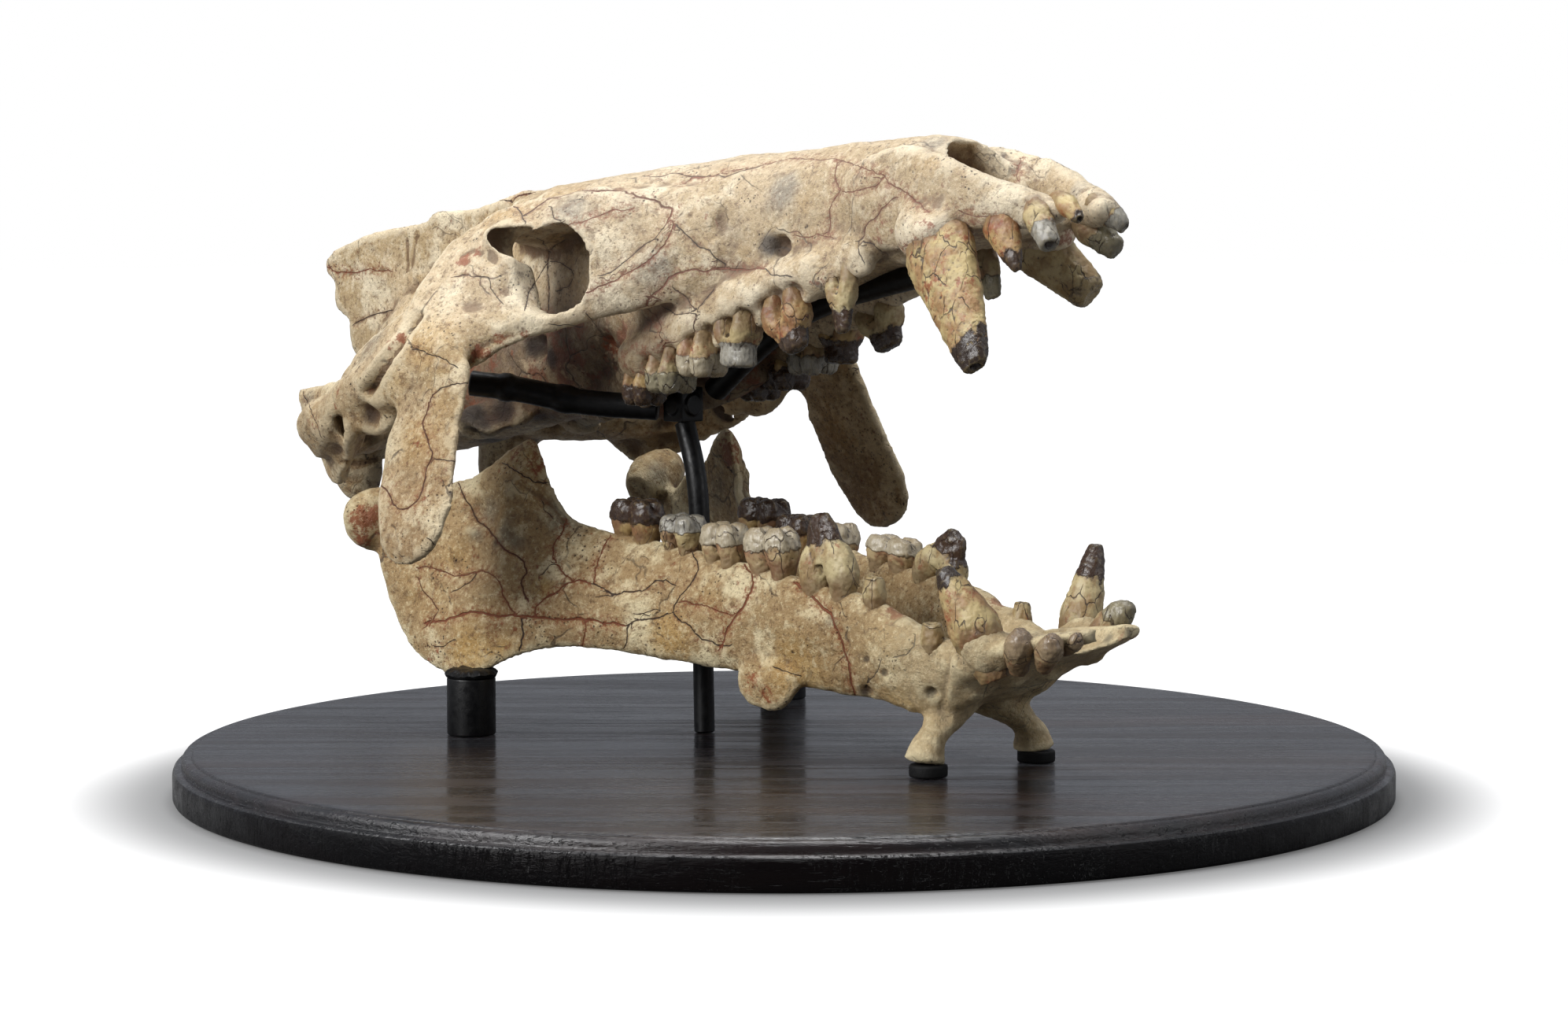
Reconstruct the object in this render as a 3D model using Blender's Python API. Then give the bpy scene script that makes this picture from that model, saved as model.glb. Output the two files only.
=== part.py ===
"""A fossil entelodont skull with open jaws on a round wooden base.

Metres, +Z up. X runs forward along the snout, Y to the animal's left. The origin is the centre of the
base's underside.
"""

import math

import bmesh
import bpy
import numpy as np
from mathutils import Matrix, Vector

# Driving dimensions
BASE_RADIUS = 0.380
BASE_THICKNESS = 0.0284
BASE_EDGE_ROUND = 0.008
SKULL_MID_Y = 0.0075          # the skull's mid-plane stands this far left of the base's centre
FIT_GAP = 0.0004              # clearance between pieces that touch
POST_RADIUS = 0.0155
POST_X, POST_Y = -0.157, 0.1335
POST_TOP = 0.0665
PAD_RADIUS, PAD_HEIGHT = 0.0115, 0.0075
PAD_X, PAD_Y = 0.169, 0.0455
CENTRE_POST_RADIUS = 0.0066
VOXEL = 0.0032
CRANIUM_TRIANGLES = 1860
MANDIBLE_TRIANGLES = 960


# Stations of the bones. Each row is hand-placed, and the surface runs smoothly from row to row.

# x, low z, high z, half width, how much narrower the top is than the bottom
SNOUT = (
    (0.178, 0.346, 0.384, 0.041, 0.25),
    (0.160, 0.340, 0.401, 0.045, 0.40),
    (0.135, 0.334, 0.406, 0.045, 0.45),
    (0.100, 0.326, 0.405, 0.043, 0.40),
    (0.060, 0.312, 0.402, 0.048, 0.30),
    (0.015, 0.300, 0.398, 0.054, 0.25),
    (-0.030, 0.284, 0.396, 0.062, 0.15),
    (-0.065, 0.264, 0.391, 0.066, 0.10),
    (-0.095, 0.254, 0.386, 0.062, 0.10),
    (-0.125, 0.258, 0.381, 0.052, 0.05),
)
FOREHEAD = (
    (-0.045, 0.345, 0.393, 0.060, 0.2),
    (-0.080, 0.345, 0.390, 0.077, 0.2),
    (-0.115, 0.350, 0.385, 0.090, 0.2),
    (-0.150, 0.346, 0.380, 0.097, 0.2),
    (-0.185, 0.336, 0.377, 0.096, 0.3),
    (-0.215, 0.336, 0.374, 0.072, 0.4),
    (-0.250, 0.338, 0.371, 0.040, 0.4),
)
BRAINCASE = (
    (-0.105, 0.262, 0.378, 0.052, 0.1),
    (-0.150, 0.245, 0.374, 0.050, 0.1),
    (-0.200, 0.228, 0.366, 0.047, 0.3),
    (-0.250, 0.216, 0.350, 0.046, 0.5),
    (-0.300, 0.206, 0.335, 0.050, 0.6),
    (-0.350, 0.196, 0.318, 0.054, 0.6),
    (-0.395, 0.190, 0.298, 0.050, 0.6),
    (-0.425, 0.205, 0.275, 0.036, 0.6),
)
# x, low z, high z, y at the low edge, y at the high edge, half thickness
CHEEK_ARCH = (
    (-0.005, 0.315, 0.350, 0.046, 0.044, 0.016),
    (-0.035, 0.306, 0.352, 0.062, 0.058, 0.016),
    (-0.065, 0.296, 0.346, 0.082, 0.076, 0.014),
    (-0.090, 0.287, 0.326, 0.106, 0.098, 0.010),
    (-0.112, 0.279, 0.304, 0.128, 0.120, 0.008),
    (-0.132, 0.264, 0.298, 0.146, 0.140, 0.008),
    (-0.152, 0.252, 0.300, 0.160, 0.154, 0.008),
    (-0.180, 0.250, 0.286, 0.170, 0.166, 0.009),
    (-0.210, 0.244, 0.268, 0.174, 0.170, 0.009),
    (-0.238, 0.232, 0.256, 0.172, 0.168, 0.010),
    (-0.258, 0.212, 0.246, 0.167, 0.163, 0.012),
    (-0.275, 0.204, 0.240, 0.160, 0.156, 0.013),
    (-0.300, 0.196, 0.238, 0.145, 0.140, 0.015),
)
# The wall that rings the eye socket, from the snout back to the brow
EYE_WALL = (
    (-0.010, 0.318, 0.372, 0.050, 0.044, 0.014),
    (-0.045, 0.310, 0.376, 0.066, 0.056, 0.016),
    (-0.075, 0.304, 0.374, 0.086, 0.072, 0.018),
    (-0.100, 0.298, 0.372, 0.108, 0.084, 0.018),
    (-0.130, 0.292, 0.368, 0.130, 0.092, 0.016),
    (-0.158, 0.290, 0.362, 0.146, 0.098, 0.013),
    (-0.180, 0.292, 0.352, 0.154, 0.106, 0.010),
    (-0.194, 0.300, 0.340, 0.152, 0.118, 0.007),
)
# The bridge of bone behind the cheek, and how the cheek flange springs from the arch
REAR_WALL = (
    (-0.232, 0.214, 0.270, 0.170, 0.160, 0.010),
    (-0.255, 0.200, 0.264, 0.158, 0.148, 0.011),
    (-0.280, 0.186, 0.260, 0.143, 0.136, 0.010),
    (-0.305, 0.178, 0.250, 0.130, 0.126, 0.009),
    (-0.330, 0.196, 0.246, 0.124, 0.121, 0.008),
    (-0.350, 0.220, 0.243, 0.121, 0.119, 0.006),
    (-0.362, 0.233, 0.242, 0.120, 0.119, 0.004),
)
FLANGE_ROOT = (
    (-0.140, 0.240, 0.296, 0.166, 0.150, 0.007),
    (-0.165, 0.236, 0.300, 0.170, 0.152, 0.009),
    (-0.190, 0.236, 0.298, 0.173, 0.154, 0.010),
    (-0.215, 0.236, 0.286, 0.173, 0.158, 0.009),
    (-0.240, 0.232, 0.268, 0.168, 0.160, 0.007),
)
# Rounded masses behind the cheek and under the ear: x, y, z and radii
ARCH_FILLS = (
    (-0.216, 0.163, 0.246, 0.030, 0.010, 0.030),
    (-0.236, 0.155, 0.242, 0.028, 0.010, 0.026),
    (-0.262, 0.044, 0.219, 0.020, 0.014, 0.012),
    (-0.240, 0.034, 0.227, 0.018, 0.012, 0.012),
)
MANDIBLE_SIDE = (
    (0.196, 0.076, 0.110, 0.026, 0.034, 0.013),
    (0.175, 0.068, 0.112, 0.030, 0.040, 0.014),
    (0.150, 0.064, 0.121, 0.034, 0.043, 0.014),
    (0.113, 0.069, 0.133, 0.038, 0.044, 0.013),
    (0.063, 0.071, 0.139, 0.044, 0.046, 0.013),
    (0.028, 0.076, 0.143, 0.050, 0.048, 0.013),
    (-0.010, 0.079, 0.147, 0.060, 0.050, 0.014),
    (-0.050, 0.082, 0.152, 0.072, 0.053, 0.015),
    (-0.085, 0.085, 0.156, 0.086, 0.059, 0.014),
    (-0.112, 0.085, 0.160, 0.099, 0.068, 0.012),
    (-0.130, 0.080, 0.168, 0.111, 0.074, 0.010),
    (-0.142, 0.074, 0.184, 0.118, 0.078, 0.009),
    (-0.149, 0.070, 0.206, 0.122, 0.081, 0.009),
    (-0.157, 0.066, 0.216, 0.126, 0.083, 0.010),
    (-0.174, 0.064, 0.208, 0.129, 0.088, 0.009),
    (-0.197, 0.066, 0.191, 0.131, 0.097, 0.008),
    (-0.218, 0.074, 0.185, 0.131, 0.104, 0.008),
    (-0.240, 0.098, 0.171, 0.131, 0.111, 0.009),
    (-0.258, 0.128, 0.169, 0.127, 0.116, 0.009),
    (-0.272, 0.148, 0.172, 0.122, 0.118, 0.009),
)
CHIN = (
    (0.138, 0.086, 0.104, 0.026, 0.0),
    (0.160, 0.066, 0.108, 0.040, 0.0),
    (0.190, 0.076, 0.113, 0.047, 0.0),
    (0.213, 0.090, 0.116, 0.048, -0.1),
    (0.235, 0.100, 0.118, 0.044, -0.2),
    (0.257, 0.109, 0.121, 0.036, -0.2),
    (0.274, 0.115, 0.124, 0.022, -0.2),
)
# Outline of the thin crest that stands over the braincase, x and z, with its broken rear edge
CREST = (
    (-0.150, 0.374), (-0.271, 0.373), (-0.318, 0.361), (-0.366, 0.359), (-0.372, 0.352),
    (-0.404, 0.349), (-0.449, 0.341), (-0.480, 0.333), (-0.496, 0.323), (-0.494, 0.313),
    (-0.484, 0.309), (-0.483, 0.291), (-0.467, 0.283), (-0.465, 0.262), (-0.452, 0.250),
    (-0.400, 0.225), (-0.300, 0.250), (-0.200, 0.300),
)
# Each tube row is x, y, z, half width across, half height
CHIN_FLANGE = (
    (0.158, 0.004, 0.080, 0.018, 0.020),
    (0.162, 0.017, 0.072, 0.016, 0.017),
    (0.165, 0.029, 0.062, 0.0115, 0.0130),
    (0.166, 0.038, 0.053, 0.0085, 0.0095),
    (0.166, 0.0440, 0.045, 0.0105, 0.0115),
    (0.166, 0.0460, 0.0368, 0.0128, 0.0140),
)
REAR_TUBERCLE = (
    (0.040, 0.051, 0.088, 0.010, 0.031),
    (0.036, 0.056, 0.077, 0.008, 0.027),
    (0.028, 0.059, 0.069, 0.007, 0.016),
    (0.023, 0.060, 0.0635, 0.005, 0.007),
)
JAW_CONDYLE = (
    (-0.262, 0.096, 0.163, 0.009, 0.011),
    (-0.266, 0.110, 0.162, 0.014, 0.018),
    (-0.268, 0.126, 0.159, 0.015, 0.021),
    (-0.267, 0.138, 0.154, 0.012, 0.019),
    (-0.265, 0.145, 0.150, 0.006, 0.009),
)
LEFT_JAW_CONDYLE = (
    (-0.262, 0.094, 0.165, 0.010, 0.013),
    (-0.267, 0.106, 0.172, 0.015, 0.017),
    (-0.271, 0.120, 0.176, 0.016, 0.018),
    (-0.271, 0.132, 0.176, 0.013, 0.016),
    (-0.270, 0.139, 0.175, 0.006, 0.008),
)
CHEEK_FLANGE = (
    (-0.158, 0.158, 0.284, 0.024, 0.008),
    (-0.152, 0.164, 0.258, 0.034, 0.0065),
    (-0.147, 0.177, 0.224, 0.036, 0.0055),
    (-0.140, 0.188, 0.193, 0.037, 0.0055),
    (-0.130, 0.197, 0.168, 0.035, 0.0055),
    (-0.122, 0.201, 0.154, 0.025, 0.0050),
    (-0.118, 0.202, 0.147, 0.013, 0.0040),
)
BROW_BAR = (
    (-0.176, 0.092, 0.350, 0.014, 0.010),
    (-0.184, 0.110, 0.334, 0.016, 0.009),
    (-0.182, 0.132, 0.314, 0.017, 0.008),
    (-0.172, 0.152, 0.294, 0.020, 0.008),
)
BROW_RIM = (
    (-0.085, 0.078, 0.366, 0.010, 0.012),
    (-0.115, 0.089, 0.362, 0.009, 0.010),
    (-0.145, 0.096, 0.358, 0.008, 0.009),
    (-0.172, 0.100, 0.350, 0.009, 0.010),
)
JAW_SOCKET_BAR = (
    (-0.350, 0.030, 0.235, 0.032, 0.030),
    (-0.338, 0.075, 0.221, 0.034, 0.022),
    (-0.312, 0.115, 0.216, 0.034, 0.018),
    (-0.285, 0.145, 0.219, 0.026, 0.018),
    (-0.262, 0.160, 0.226, 0.018, 0.018),
)
NECK_WING = (
    (-0.403, 0.010, 0.225, 0.016, 0.022),
    (-0.394, 0.050, 0.220, 0.016, 0.022),
    (-0.378, 0.080, 0.218, 0.018, 0.022),
    (-0.364, 0.097, 0.217, 0.018, 0.021),
)
NECK_PROCESS = (
    (-0.374, 0.074, 0.222, 0.025, 0.024),
    (-0.374, 0.068, 0.200, 0.024, 0.020),
    (-0.375, 0.062, 0.178, 0.019, 0.015),
    (-0.376, 0.058, 0.163, 0.010, 0.009),
)
NECK_CONDYLE = (
    (-0.390, 0.020, 0.212, 0.018, 0.022),
    (-0.418, 0.023, 0.204, 0.017, 0.020),
    (-0.432, 0.023, 0.199, 0.009, 0.011),
)
SKULL_FLOOR = (
    (-0.120, 0.000, 0.262, 0.030, 0.014),
    (-0.180, 0.000, 0.246, 0.026, 0.016),
    (-0.270, 0.000, 0.228, 0.026, 0.018),
    (-0.350, 0.000, 0.212, 0.030, 0.018),
    (-0.400, 0.000, 0.206, 0.026, 0.016),
)
PALATE_WING = (
    (-0.070, 0.036, 0.266, 0.014, 0.016),
    (-0.110, 0.032, 0.250, 0.008, 0.018),
    (-0.150, 0.026, 0.240, 0.005, 0.017),
    (-0.185, 0.022, 0.234, 0.004, 0.012),
)
TOOTH_RIDGE = (
    (0.110, 0.038, 0.336, 0.008, 0.012),
    (0.060, 0.042, 0.321, 0.013, 0.015),
    (0.020, 0.045, 0.308, 0.015, 0.017),
    (-0.020, 0.048, 0.293, 0.016, 0.018),
    (-0.060, 0.051, 0.276, 0.016, 0.018),
    (-0.095, 0.052, 0.264, 0.014, 0.014),
)
SNOUT_ARM = (
    (0.085, 0.028, 0.366, 0.010, 0.022),
    (0.115, 0.034, 0.367, 0.011, 0.030),
    (0.145, 0.037, 0.370, 0.010, 0.031),
    (0.175, 0.040, 0.370, 0.009, 0.024),
    (0.205, 0.037, 0.367, 0.010, 0.017),
    (0.232, 0.028, 0.363, 0.011, 0.012),
    (0.252, 0.019, 0.361, 0.009, 0.007),
)
SNOUT_FLOOR = (
    (0.145, 0.000, 0.346, 0.038, 0.008),
    (0.180, 0.000, 0.350, 0.038, 0.007),
    (0.210, 0.000, 0.354, 0.034, 0.006),
)
CANINE_SWELLING = (
    (0.150, 0.040, 0.352, 0.014, 0.018),
    (0.172, 0.046, 0.348, 0.014, 0.016),
    (0.192, 0.045, 0.352, 0.010, 0.012),
)
LOWER_CANINE_SWELLING = (
    (0.220, 0.034, 0.100, 0.012, 0.011),
    (0.214, 0.041, 0.107, 0.013, 0.013),
    (0.208, 0.044, 0.116, 0.013, 0.013),
)

# Steel supports, as centre lines. The skull's mid-plane is y = 0 here too.
CENTRE_POST_LINE = (
    (-0.064, -0.018, BASE_THICKNESS + FIT_GAP),
    (-0.069, -0.016, 0.120),
    (-0.074, -0.015, 0.185),
    (-0.0885, -0.013, 0.2255),
)
CLAMP_CENTRE, CLAMP_RADII = (-0.091, -0.012, 0.237), (0.0115, 0.0115, 0.011)
CROSS_ROD_LINE = (
    (-0.104, -0.022, 0.2345),
    (-0.140, -0.055, 0.238),
    (-0.170, -0.084, 0.246),
    (-0.192, -0.106, 0.250),
)
PALATE_BAR_LINE = (
    (-0.076, 0.002, 0.246),
    (-0.040, 0.000, 0.270),
    (0.000, 0.000, 0.293),
    (0.040, 0.000, 0.307),
    (0.080, 0.000, 0.316),
    (0.116, 0.000, 0.323),
)

# Teeth. Root and tip are x, y, z; sizes are the half length along the jaw and the half width.
TOOTH_FIELDS = ("root", "neck", "tip", "half_length", "half_width", "tip_share")
UPPER_RIGHT = {
    "incisor_1": ((0.243, -0.018, 0.37), (0.254, -0.021, 0.366), (0.27, -0.025, 0.357), 0.0068, 0.0064, 0.45),
    "incisor_2": ((0.232, -0.028, 0.368), (0.241, -0.031, 0.361), (0.258, -0.037, 0.342), 0.0088, 0.0082, 0.75),
    "incisor_3": ((0.208, -0.032, 0.366), (0.217, -0.036, 0.355), (0.236, -0.041, 0.328), 0.012, 0.0085, 0.3),
    "canine": ((0.166, -0.041, 0.362), (0.178, -0.048, 0.342), (0.228, -0.066, 0.273), 0.0240, 0.014, 0.42),
    "premolar_2": ((0.089, -0.041, 0.332), (0.091, -0.043, 0.318), (0.094, -0.045, 0.288), 0.012, 0.007, 0.3),
    "premolar_3": ((0.04, -0.043, 0.316), (0.042, -0.044, 0.3), (0.055, -0.046, 0.277), 0.019, 0.011, 0.4),
    "premolar_4": ((0.002, -0.047, 0.307), (0.002, -0.047, 0.29), (0.002, -0.047, 0.265), 0.0158, 0.013, 0.8),
    "molar_1": ((-0.028, -0.049, 0.298), (-0.028, -0.05, 0.28), (-0.028, -0.05, 0.258), 0.0135, 0.016, 0.85),
    "molar_2": ((-0.056, -0.051, 0.284), (-0.056, -0.052, 0.268), (-0.056, -0.052, 0.247), 0.0132, 0.016, 0.85),
    "molar_3": ((-0.082, -0.051, 0.272), (-0.082, -0.052, 0.257), (-0.082, -0.052, 0.238), 0.0115, 0.014, 0.8),
}
UPPER_LEFT = {
    "incisor_2": ((0.234, 0.020, 0.368), (0.242, 0.023, 0.363), (0.256, 0.028, 0.352), 0.0085, 0.008, 0.6),
    "incisor_3": ((0.212, 0.032, 0.360), (0.220, 0.034, 0.353), (0.240, 0.038, 0.338), 0.0110, 0.009, 0.7),
    "canine": ((0.150, 0.040, 0.356), (0.160, 0.048, 0.343), (0.197, 0.063, 0.311), 0.0190, 0.016, 0.70),
    "premolar_1": ((0.125, 0.041, 0.344), (0.127, 0.043, 0.330), (0.132, 0.044, 0.308), 0.0100, 0.006, 0.6),
    "premolar_3": ((0.030, 0.042, 0.314), (0.032, 0.043, 0.298), (0.042, 0.044, 0.275), 0.0190, 0.011, 0.5),
    "premolar_4": ((-0.006, 0.046, 0.303), (-0.006, 0.047, 0.286), (-0.006, 0.047, 0.264), 0.0145, 0.013, 0.8),
    "molar_1": ((-0.036, 0.049, 0.294), (-0.036, 0.05, 0.277), (-0.036, 0.05, 0.256), 0.014, 0.016, 0.85),
    "molar_2": ((-0.064, 0.051, 0.281), (-0.064, 0.052, 0.266), (-0.064, 0.052, 0.245), 0.0125, 0.016, 0.85),
    "molar_3": ((-0.089, 0.051, 0.27), (-0.089, 0.052, 0.255), (-0.089, 0.052, 0.237), 0.0115, 0.014, 0.8),
}
LOWER_RIGHT = {
    "incisor_1": ((0.256, -0.02, 0.108), (0.263, -0.0235, 0.113), (0.273, -0.026, 0.119), 0.005, 0.005, 0.8),
    "incisor_2": ((0.249, -0.031, 0.099), (0.256, -0.036, 0.107), (0.267, -0.04, 0.119), 0.0075, 0.0075, 0.7),
    "incisor_3": ((0.233, -0.035, 0.096), (0.238, -0.041, 0.106), (0.246, -0.046, 0.121), 0.0085, 0.0085, 0.7),
    "canine": ((0.216, -0.036, 0.09), (0.207, -0.043, 0.116), (0.186, -0.051, 0.154), 0.017, 0.0145, 0.35),
    "premolar_1": ((0.171, -0.043, 0.094), (0.171, -0.044, 0.108), (0.171, -0.045, 0.12), 0.008, 0.007, 0.8),
    "premolar_2": ((0.122, -0.044, 0.114), (0.122, -0.045, 0.131), (0.122, -0.045, 0.144), 0.008, 0.0065, 0.8),
    "premolar_3": ((0.084, -0.046, 0.12), (0.084, -0.046, 0.139), (0.076, -0.047, 0.179), 0.024, 0.01, 0.25),
    "premolar_4": ((0.034, -0.047, 0.128), (0.034, -0.047, 0.145), (0.032, -0.048, 0.168), 0.02, 0.0115, 0.6),
    "molar_1": ((-0.008, -0.049, 0.13), (-0.008, -0.049, 0.147), (-0.008, -0.05, 0.168), 0.016, 0.012, 0.8),
    "molar_2": ((-0.045, -0.051, 0.136), (-0.045, -0.051, 0.152), (-0.045, -0.052, 0.171), 0.015, 0.0125, 0.85),
    "molar_3": ((-0.084, -0.056, 0.142), (-0.084, -0.056, 0.158), (-0.084, -0.057, 0.179), 0.0195, 0.012, 0.8),
}
LOWER_LEFT = {
    "incisor_3": ((0.222, 0.033, 0.104), (0.233, 0.036, 0.116), (0.252, 0.040, 0.131), 0.0085, 0.0085, 0.7),
    "canine": ((0.208, 0.036, 0.096), (0.206, 0.044, 0.117), (0.207, 0.057, 0.163), 0.0135, 0.0120, 0.35),
    "premolar_1": ((0.157, 0.043, 0.098), (0.157, 0.044, 0.113), (0.157, 0.045, 0.125), 0.0075, 0.0065, 0.7),
    "premolar_3": ((0.084, 0.045, 0.116), (0.084, 0.045, 0.134), (0.101, 0.046, 0.163), 0.022, 0.01, 0.25),
    "premolar_4": ((0.04, 0.048, 0.124), (0.04, 0.048, 0.141), (0.042, 0.049, 0.157), 0.0205, 0.0115, 0.75),
    "molar_1": ((-0.014, 0.049, 0.124), (-0.014, 0.049, 0.141), (-0.014, 0.05, 0.162), 0.016, 0.012, 0.8),
    "molar_2": ((-0.051, 0.051, 0.13), (-0.051, 0.051, 0.146), (-0.051, 0.052, 0.165), 0.015, 0.0125, 0.85),
    "molar_3": ((-0.09, 0.056, 0.136), (-0.09, 0.056, 0.152), (-0.09, 0.057, 0.173), 0.0195, 0.012, 0.8),
}

# Name: colour, roughness, metallic
FINISHES = {
    "fossil_bone": ((0.62, 0.52, 0.37, 1.0), 0.75, 0.0),
    "fossil_tooth": ((0.42, 0.34, 0.20, 1.0), 0.45, 0.0),
    "dark_wood": ((0.030, 0.016, 0.012, 1.0), 0.35, 0.0),
    "black_steel": ((0.012, 0.012, 0.013, 1.0), 0.40, 1.0),
    "black_rubber": ((0.010, 0.010, 0.010, 1.0), 0.60, 0.0),
}


def clear_scene():
    for old in list(bpy.data.objects):
        bpy.data.objects.remove(old, do_unlink=True)


def material(name):
    found = bpy.data.materials.get(name)
    if found:
        return found
    made = bpy.data.materials.new(name)
    made.use_nodes = True
    colour, roughness, metallic = FINISHES[name]
    shader = made.node_tree.nodes["Principled BSDF"]
    shader.inputs["Base Color"].default_value = colour
    shader.inputs["Roughness"].default_value = roughness
    shader.inputs["Metallic"].default_value = metallic
    made.diffuse_color = colour
    return made


def smooth_rows(rows, steps):
    """The rows with smooth ones put between them, as a Catmull-Rom curve runs."""
    rows = np.array(rows, float)
    ends = [2 * rows[0] - rows[1]], [2 * rows[-1] - rows[-2]]
    padded = np.vstack([ends[0], rows, ends[1]])
    found = []
    for before, start, end, after in zip(padded, padded[1:], padded[2:], padded[3:]):
        for t in np.arange(steps) / steps:
            linear = (end - before) * t
            square = (2 * before - 5 * start + 4 * end - after) * t**2
            cube = (3 * start - before - 3 * end + after) * t**3
            found.append(0.5 * (2 * start + linear + square + cube))
    return np.array([*found, rows[-1]])


def object_from(name, build, finish=None):
    """A new object whose mesh the function build fills."""
    mesh = bpy.data.meshes.new(name)
    work = bmesh.new()
    build(work)
    bmesh.ops.recalc_face_normals(work, faces=work.faces)
    work.to_mesh(mesh)
    work.free()
    made = bpy.data.objects.new(name, mesh)
    bpy.context.scene.collection.objects.link(made)
    if finish:
        mesh.materials.append(material(finish))
    return made


def add_rings(work, rings):
    """A closed skin through rings of points, with a point in the middle of each end."""
    loops = [[work.verts.new(point) for point in ring] for ring in rings]
    for first, second in zip(loops, loops[1:]):
        for i, corner in enumerate(first):
            j = (i + 1) % len(first)
            work.faces.new((corner, first[j], second[j], second[i]))
    for loop, ring in ((loops[0], rings[0]), (loops[-1], rings[-1])):
        middle = work.verts.new(np.mean(ring, axis=0))
        for i, corner in enumerate(loop):
            work.faces.new((middle, corner, loop[(i + 1) % len(loop)]))


def turned(sides):
    angle = np.linspace(0, 2 * math.pi, sides, endpoint=False)
    return np.cos(angle), np.sin(angle)


def squarer(values, power=0.75):
    return np.sign(values) * np.abs(values) ** power


def body_rings(rows, sides=24):
    """Upright rings across X for a trunk of bone that is the same on both sides."""
    across, height = (squarer(part) for part in turned(sides))
    for x, low, high, half, taper in smooth_rows(rows, 3):
        share = (1 + height) / 2
        y = half * (1 - taper * share) * across
        z = low + (high - low) * share
        yield np.stack([np.full(sides, x), y, z], axis=1)


def blade_rings(rows, sides=16):
    """Upright rings across X for a standing blade of bone that may lean."""
    across, height = turned(sides)
    for x, low, high, low_y, high_y, half in smooth_rows(rows, 3):
        share = (1 + height) / 2
        y = low_y + (high_y - low_y) * share + half * across
        z = low + (high - low) * share
        yield np.stack([np.full(sides, x), y, z], axis=1)


def tube_rings(rows, sides=12, aside=(0, 1, 0), steps=3):
    """Rings square to a curved centre line. The half width is measured towards aside."""
    path = smooth_rows(rows, steps)
    centres = path[:, :3]
    ways = np.gradient(centres, axis=0)
    cosine, sine = turned(sides)
    for (x, y, z, half, upright), way in zip(path, ways):
        forward = Vector(way).normalized()
        across = Vector(aside)
        across = (across - forward * across.dot(forward)).normalized()
        up = forward.cross(across)
        yield [Vector((x, y, z)) + across * half * c + up * upright * s for c, s in zip(cosine, sine)]


def mirrored(rings):
    return [[(x, -y, z) for x, y, z in ring] for ring in rings]


def add_both_sides(work, rings):
    rings = list(rings)
    add_rings(work, rings)
    add_rings(work, mirrored(rings))


def add_plate(work, outline, half):
    """A flat upright plate in the mid-plane."""
    sides = [[work.verts.new((x, y, z)) for x, z in outline] for y in (-half, half)]
    work.faces.new(sides[0])
    work.faces.new(reversed(sides[1]))
    for i, corner in enumerate(sides[0]):
        j = (i + 1) % len(outline)
        work.faces.new((corner, sides[0][j], sides[1][j], sides[1][i]))


def add_ball(work, centre, radii, detail=3, turn=0.0):
    matrix = Matrix.Translation(centre) @ Matrix.Rotation(turn, 4, "Y") @ Matrix.Diagonal((*radii, 1))
    bmesh.ops.create_icosphere(work, subdivisions=detail, radius=1, matrix=matrix)


def baked(name, source, finish=None):
    """A new object with the source's mesh as its modifiers leave it, in the place of the source."""
    graph = bpy.context.evaluated_depsgraph_get()
    mesh = bpy.data.meshes.new_from_object(source.evaluated_get(graph))
    bpy.data.objects.remove(source, do_unlink=True)
    mesh.name = name
    mesh.materials.clear()
    if finish:
        mesh.materials.append(material(finish))
    made = bpy.data.objects.new(name, mesh)
    bpy.context.scene.collection.objects.link(made)
    return made


def drop_chips(mesh):
    """Keeps the mesh's largest connected part, without the chips that a cut leaves between two teeth."""
    work = bmesh.new()
    work.from_mesh(mesh)
    left = set(work.verts)
    parts = []
    while left:
        part, edge = set(), [left.pop()]
        while edge:
            corner = edge.pop()
            part.add(corner)
            near = {link.other_vert(corner) for link in corner.link_edges} & left
            left -= near
            edge.extend(near)
        parts.append(part)
    parts.sort(key=len)
    bmesh.ops.delete(work, geom=[corner for part in parts[:-1] for corner in part], context="VERTS")
    work.to_mesh(mesh)
    work.free()


def fuse(piece, voxel):
    modifier = piece.modifiers.new("fuse", "REMESH")
    modifier.mode = "VOXEL"
    modifier.voxel_size = voxel
    modifier.use_smooth_shade = True


def soften(piece, times, factor=0.5):
    modifier = piece.modifiers.new("soften", "SMOOTH")
    modifier.factor = factor
    modifier.iterations = times


def thin_out(piece, triangles):
    """Fewer faces, down to about this many triangles."""
    graph = bpy.context.evaluated_depsgraph_get()
    mesh = piece.evaluated_get(graph).to_mesh()
    mesh.calc_loop_triangles()
    modifier = piece.modifiers.new("thin_out", "DECIMATE")
    modifier.ratio = triangles / len(mesh.loop_triangles)


def cut(piece, cutter):
    cutter.hide_render = True
    cutter.display_type = "WIRE"
    modifier = piece.modifiers.new(f"cut_{cutter.name}", "BOOLEAN")
    modifier.operation = "DIFFERENCE"
    modifier.solver = "EXACT"
    modifier.object = cutter


def stand_on_mid_plane(piece):
    piece.location.y = SKULL_MID_Y


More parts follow.
